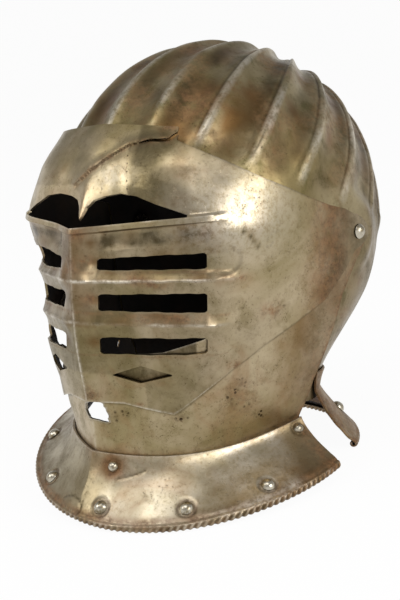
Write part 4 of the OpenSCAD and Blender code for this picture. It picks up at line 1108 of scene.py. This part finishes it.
def old_steel(name, pale, mid, olive, gloss=0.30, stain=0.6):
    """Carbon steel, beaten, ground and burnished, then left bare for centuries: warm grey
    where it was rubbed and where a highlight is painted, olive and brown where oil and rust have
    darkened it and where shade is painted, finely pitted."""
    material, tree = blank(name)
    where = add(tree, "TexCoord", out="Object")
    # patterns with so many features a metre: clouds from hand-wide patches down to grinding
    # grit, then cells for pits of about a millimetre and for finer ones a third of that
    seen = {key: add(tree, "TexNoise", {"Vector": where, **dict(zip(CLOUD_INPUTS, values))})
            for key, *values in (
                ("broad", 15, 4, 0.6, 0.6), ("warm", 24, 4, 0.6, 1.2), ("cloud", 60, 6, 0.68, 0.3),
                ("family", 60, 4, 0.55, 0), ("bloom", 170, 6, 0.78, 0),
                ("grain", 300, 5, 0.75, 0), ("fine", 620, 4, 0.7, 0))}
    for key, per_m in (("deep_pit", 360.0), ("pit", 620.0)):
        seen[key] = add(tree, "TexVoronoi", {"Vector": where, "Scale": per_m})
    # the part of each pattern that counts: its range, and what that is turned to
    part = {key: add(tree, "MapRange", dict(zip(RANGE_INPUTS, (seen[of], *limits))), **SOFT)
            for key, of, *limits in (
                ("mid", "broad", 0.36, 0.64, 0, 1), ("olive", "cloud", 0.48, 0.70, 0, stain + 0.1),
                ("brown", "warm", 0.50, 0.72, 0, stain), ("grime", "grain", 0.50, 0.72, 0, 0.35),
                ("grime_and_shade", "cloud", 0.30, 0.6, 0.6, 1.0), ("rust", "bloom", 0.36, 0.60, 0.1, 0.9),
                ("dark_rust", "grain", 0.4, 0.62, 0, 1), ("bare", "grain", 0.62, 0.42, 0.35, 1.0),
                ("deep_pit", "deep_pit", 0.42, 0.30, 0, 1), ("pit", "pit", 0.22, 0.10, 0, 1),
                ("family", "family", 0.50, 0.66, 0, 1), ("speck", "fine", 0.58, 0.67, 0, 1),
                ("spread", "cloud", 0.35, 0.6, 0.25, 0.9),
                ("rough", "cloud", 0.3, 0.7, gloss, gloss + 0.14))}
    # what the piece's own attributes call for, each broken up by one of those
    stained = add(tree, "Attribute", out="Fac", attribute_name="stained")
    grime_and_painted_shade, rusty, pitted, worn = (
        add(tree, "Math", {0: add(tree, "Attribute", out="Fac", attribute_name=key),
                           1: part[by]}, **TIMES)
        for key, by in (("grime_and_painted_shade", "grime_and_shade"), ("rusty", "rust"), ("pitted", "deep_pit"),
                        ("worn", "bare")))
    pits, specks = (add(tree, "Math", {0: part[a], 1: part[b]}, **TIMES)
                    for a, b in (("pit", "family"), ("speck", "spread")))
    marked = add(tree, "Math", {0: pits, 1: specks}, **HIGHER)
    ochre = add(tree, "Mix", {"Factor": part["dark_rust"], 6: linear("#85603c"),
                              7: linear("#5e3f26")}, **COLOUR)
    # the dark olive of grime also paints shade, and the worn grey also paints highlights
    base = linear(pale)
    for share, strength, colour in (
            (part["mid"], 1.0, linear(mid)), (part["olive"], 1.0, linear(olive)),
            (part["brown"], 1.0, linear("#8c6a48")), (part["grime"], 1.0, linear("#6a5638")),
            (stained, 0.92, linear("#745531")), (grime_and_painted_shade, 0.88, linear("#3a311d")),
            (rusty, 1.0, ochre), (marked, 0.6, linear("#4a3821")),
            (pitted, 0.9, linear("#2e2013")), (worn, 1.0, linear("#d4ccbd"))):
        share = add(tree, "Math", {0: share, 1: strength}, **TIMES)
        base = add(tree, "Mix", {"Factor": share, 6: base, 7: colour}, **COLOUR)
    # the lines of the last grinding, drawn coarser than real ones so that they show
    scored = add(tree, "Mapping", {"Vector": where, "Scale": (2600.0, 2600.0, 120.0)})
    scored = add(tree, "TexNoise", {"Vector": scored, "Scale": 1.0, "Detail": 2,
                                    "Roughness": 0.55})
    sound = add(tree, "Math", {0: 1.0, 1: marked}, **LESS)
    # weighted shares added to a start or taken from it, for roughness, metal and relief: rust
    # and pits are dull, and rust is no metal
    totals = []
    for total, terms in ((part["rough"], ((rusty, 0.30, PLUS), (marked, 0.25, PLUS))),
                         (1.0, ((rusty, 0.6, LESS),)),
                         (0.0, ((scored, 0.12, PLUS), (sound, 0.45, PLUS),
                                (seen["grain"], 0.35, PLUS), (pitted, 0.6, LESS)))):
        for share, weight, how in terms:
            share = add(tree, "Math", {0: share, 1: weight}, **TIMES)
            total = add(tree, "Math", {0: total, 1: share}, **how)
        totals.append(total)
    rough, metal, height = totals
    finish(tree, base, height, 0.45, 0.00025, Metallic=metal, Roughness=rough)
    return material


def two_tones(name, per_m, detail, rough, low, high, first, second):
    """A material begun: one colour turns to another where a cloud with so many features a
    metre passes from low to high."""
    material, tree = blank(name)
    where = add(tree, "TexCoord", out="Object")
    cloud = add(tree, "TexNoise", {"Vector": where, "Scale": per_m, "Detail": detail,
                                   "Roughness": rough})
    share = add(tree, "MapRange", {"Value": cloud, "From Min": low, "From Max": high}, **SOFT)
    base = add(tree, "Mix", {"Factor": share, 6: linear(first), 7: linear(second)}, **COLOUR)
    return material, tree, where, cloud, base


def inner_steel():
    """The plates' inside, fire-blackened and oiled, never polished, and nearly black as painted
    shade for the dark within the helmet.
    """
    material, tree, where, _, base = two_tones("blackened_inner_steel_and_painted_shade", 45, 5, 0.65, 0.35, 0.7,
                                               "#17120e", "#2b1f16")
    scale = add(tree, "TexNoise", {"Vector": where, "Scale": 300, "Detail": 4, "Roughness": 0.55})
    finish(tree, base, scale, 0.4, 0.0004, Metallic=0.2, Roughness=0.75)
    return material


def rivet_iron():
    """Soft wrought iron rivets, hammered to domes and rubbed bright by handling."""
    material, tree, where, cloud, base = two_tones("hammered_wrought_iron", 210, 4, 0.6,
                                                   0.45, 0.68, "#b8b1a1", "#776a50")
    rough = add(tree, "MapRange", dict(zip(RANGE_INPUTS, (cloud, 0.4, 0.7, 0.22, 0.42))), **SOFT)
    blows = add(tree, "TexNoise", {"Vector": where, "Scale": 420, "Detail": 3, "Roughness": 0.55})
    finish(tree, base, blows, 0.4, 0.0002, Metallic=1.0, Roughness=rough)
    return material


def old_leather():
    """Vegetable-tanned leather strips, dried and cracked: dark brown with a paler flesh edge."""
    material, tree, where, _, base = two_tones("dried_vegetable_tanned_leather", 60, 5, 0.6,
                                               0.35, 0.65, "#4a3322", "#6b4c31")
    worn = add(tree, "Attribute", out="Fac", attribute_name="worn")
    worn = add(tree, "Math", {0: worn, 1: 0.6}, **TIMES)
    base = add(tree, "Mix", {"Factor": worn, 6: base, 7: linear("#8c6c4a")}, **COLOUR)
    grain = add(tree, "TexVoronoi", {"Vector": where, "Scale": 900.0})
    finish(tree, base, grain, 0.5, 0.0003, Roughness=0.8)
    return material


# ---- camera, light and floor ----
# the camera's place, the ways to its right, over it and behind it, and what the lamps face
EYE_AT = (0.5520, -0.5520, 0.2960)
EYE_RIGHT, EYE_OVER = (0.72092, 0.67788, -0.14409), (-0.06522, 0.27336, 0.95970)
EYE_BEHIND = (0.68994, -0.68247, 0.24128)
AIM = (0, 0, 0.14)
scene = bpy.context.scene
scene.view_settings.view_transform = "Standard"
eye = bpy.data.cameras.new("eye")
eye.sensor_fit, eye.sensor_height, eye.lens = "VERTICAL", 24.0, 49.6
eye.clip_start, eye.clip_end = 0.05, 60.0
viewer = bpy.data.objects.new("eye", eye)
scene.collection.objects.link(viewer)
facing = Matrix((EYE_RIGHT, EYE_OVER, EYE_BEHIND)).transposed().to_quaternion()
viewer.matrix_world = Matrix.LocRotScale(Vector(EYE_AT), facing, None)
scene.camera = viewer


def softbox(name, at, wide, high, watts):
    """A rectangular studio lamp that faces the middle of the helmet."""
    lamp = bpy.data.lights.new(name, "AREA")
    lamp.shape, lamp.size, lamp.size_y, lamp.energy = "RECTANGLE", wide, high, watts
    holder = bpy.data.objects.new(name, lamp)
    scene.collection.objects.link(holder)
    holder.location = at
    holder.rotation_mode = "QUATERNION"
    holder.rotation_quaternion = (Vector(AIM) - Vector(at)).to_track_quat("-Z", "Y")


softbox("left_hand_softbox", (1.22, -0.04, 0.60), 0.92, 0.58, 8.2)
softbox("right_hand_softbox", (-0.60, -0.95, 0.92), 0.70, 0.60, 4.6)
softbox("overhead_softbox", (0.22, -0.55, 1.22), 0.90, 0.55, 4.2)

scene.world = bpy.data.worlds.new("studio")
scene.world.use_nodes = True
scene.world.node_tree.nodes.clear()
sky = add(scene.world.node_tree, "Background", {"Color": (1, 1, 1, 1), "Strength": 0.45})
add(scene.world.node_tree, "OutputWorld", {"Surface": sky})


def make_floor():
    """A round dish of pale card: level under the helmet, and curved up to a low rim far out."""
    sides, level = 96, -0.0004
    ring = np.concatenate([[0.001, 0.3, 0.6, 1.0, 1.8, 3.0], np.linspace(3.4, 6.0, 14)])
    rise = 1.9 * (np.clip(ring - 3.0, 0, None) / 3.0) ** 2
    ang = np.arange(sides) * 2 * math.pi / sides
    pts = np.stack([ring[:, None] * np.cos(ang), ring[:, None] * np.sin(ang),
                    rise[:, None] + level + 0 * ang], -1)
    i, j = np.meshgrid(np.arange(len(ring) - 1) * sides, np.arange(sides), indexing="ij")
    i, j, k = i.ravel(), j.ravel(), (j.ravel() + 1) % sides
    quads = np.stack([i + j, i + sides + j, i + sides + k, i + k], -1)
    # one point closes the middle, with four-sided faces that each span two steps of the ring
    pair = np.arange(0, sides, 2)
    hub = np.stack([pair * 0 + len(ring) * sides, pair, pair + 1, (pair + 2) % sides], -1)
    floor = mesh_object("floor_card", np.concatenate([pts.reshape(-1, 3), [[0, 0, level]]]),
                        np.concatenate([quads, hub]))
    # seen directly or in the steel it is a white ground that keeps a shadow, and as card it
    # lights the helmet from below
    material, tree = blank("matt_white_card")
    seen, mirrored, through = (add(tree, "LightPath", out=ray) for ray in (
        "Is Camera Ray", "Is Glossy Ray", "Is Transmission Ray"))
    for other in (mirrored, through):
        seen = add(tree, "Math", {0: seen, 1: other}, **HIGHER)
    card = add(tree, "BsdfDiffuse", {"Color": linear("#f4f4f2")})
    glow = add(tree, "Emission", {"Color": (1, 1, 1, 1), "Strength": 1.0})
    share = add(tree, "Math", {0: seen, 1: 0.95}, **TIMES)
    both = add(tree, "MixShader", {0: share, 1: card, 2: glow})
    add(tree, "OutputMaterial", {"Surface": both})
    floor.data.materials.append(material)


make_floor()

# ---- the dressed helmet ----
face_steel = old_steel("aged_burnished_steel", "#b6a689", "#938561", "#776942", 0.28, 0.42)
crown_steel = old_steel("aged_burnished_steel_in_olive_patina", "#a39574", "#867853", "#656039",
                        0.30, 0.7)
neck_steel = old_steel("aged_burnished_steel_warm", "#c0b49a", "#a09274", "#806f4c", 0.30, 0.45)
nape_steel = old_steel("rusted_steel", "#a58f6d", "#8a7150", "#6e5639", 0.38)
black, iron, leather = inner_steel(), rivet_iron(), old_leather()


def dress(piece, body, slot, node, *materials):
    """A piece with its materials, its body and the node that it stands for. Its slot is not used.
    """
    for material in materials:
        piece.data.materials.append(material)
    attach(piece, body)
    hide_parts(node)


for make, body, node, steel in (
        (make_skull, "skull_body", "skull", crown_steel),
        (make_visor, "visor_body", "visor", face_steel),
        (make_bevor, "bevor_body", "bevor", face_steel),
        (make_front_neck_plate, "bevor_body", "front_neck_plate", neck_steel),
        (make_rear_neck_plate, "skull_body", "rear_neck_plate", nape_steel)):
    dress(make(), body, "plate_steel", node, steel, black)

# what each row of rivets holds together, and its heads
LINING_STACK = (HEAD_D, HEAD_H, SEAT, PLATE_T + SEAT + BAND_T)
SEAM_STACK = (SEAM_D, SEAM_H, SEAM_SEAT, PLATE_T + SEAM_GAP + PLATE_T + 0.15)
NAPE_STACK = (SEAM_D, SEAM_H, SEAM_SEAT, PLATE_T + SEAM_GAP + SKULL_T + 0.15)
for row, body, places, where, stack, seed in (
        ("front_lining", "bevor_body", FRONT_LINING, front_spot, LINING_STACK, 1),
        ("front_seam", "bevor_body", FRONT_SEAM, front_spot, SEAM_STACK, 20),
        ("rear_lining", "skull_body", REAR_LINING, rear_plate_spot, LINING_STACK, 40),
        ("rear_seam", "skull_body", REAR_SEAM, rear_plate_spot, NAPE_STACK, 60)):
    dress(rivets(row + "_rivet_set", places, where, *stack, seed), body, "rivet_iron",
          row + "_rivets", iron)
for hand, side in (("left", 1), ("right", -1)):
    dress(pivot_rivet(hand + "_pivot_rivet_domed", side), "skull_body", "rivet_iron",
          hand + "_pivot_rivet", iron)

# half of each band's width, as a share of its plate's height
front_half = 0.5 * BAND_W / (THROAT_Z - RIM_Z)
rear_half = 0.5 * BAND_W / (REAR_TOP - float(rear_plate_spot(np.array(180.0), np.array(1.0))[2]))
for name, body, node, where, angles, middle, half, seed in (
        ("front_lining_strip", "bevor_body", "front_lining_band", front_spot,
         np.linspace(-83, 83, 240), 0.76, front_half, 5),
        ("rear_lining_strip", "skull_body", "rear_lining_band", rear_plate_spot,
         rear_angle(0.68, np.linspace(0.03, 0.97, 180)), 0.68, rear_half, 8)):
    dress(lining_band(name, where, angles, middle, half, seed), body, "leather", node,
          leather, leather)

# the solids' own wires, burrs and washers stay, in wrought iron
for node in ("front_edge_wire", "rear_edge_wire", "front_seam_burrs", "front_lining_burrs",
             "rear_seam_burrs", "rear_lining_burrs", "pivot_washers"):
    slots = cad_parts[node].data.materials
    if not slots:
        slots.append(iron)
    for k in range(len(slots)):
        slots[k] = iron
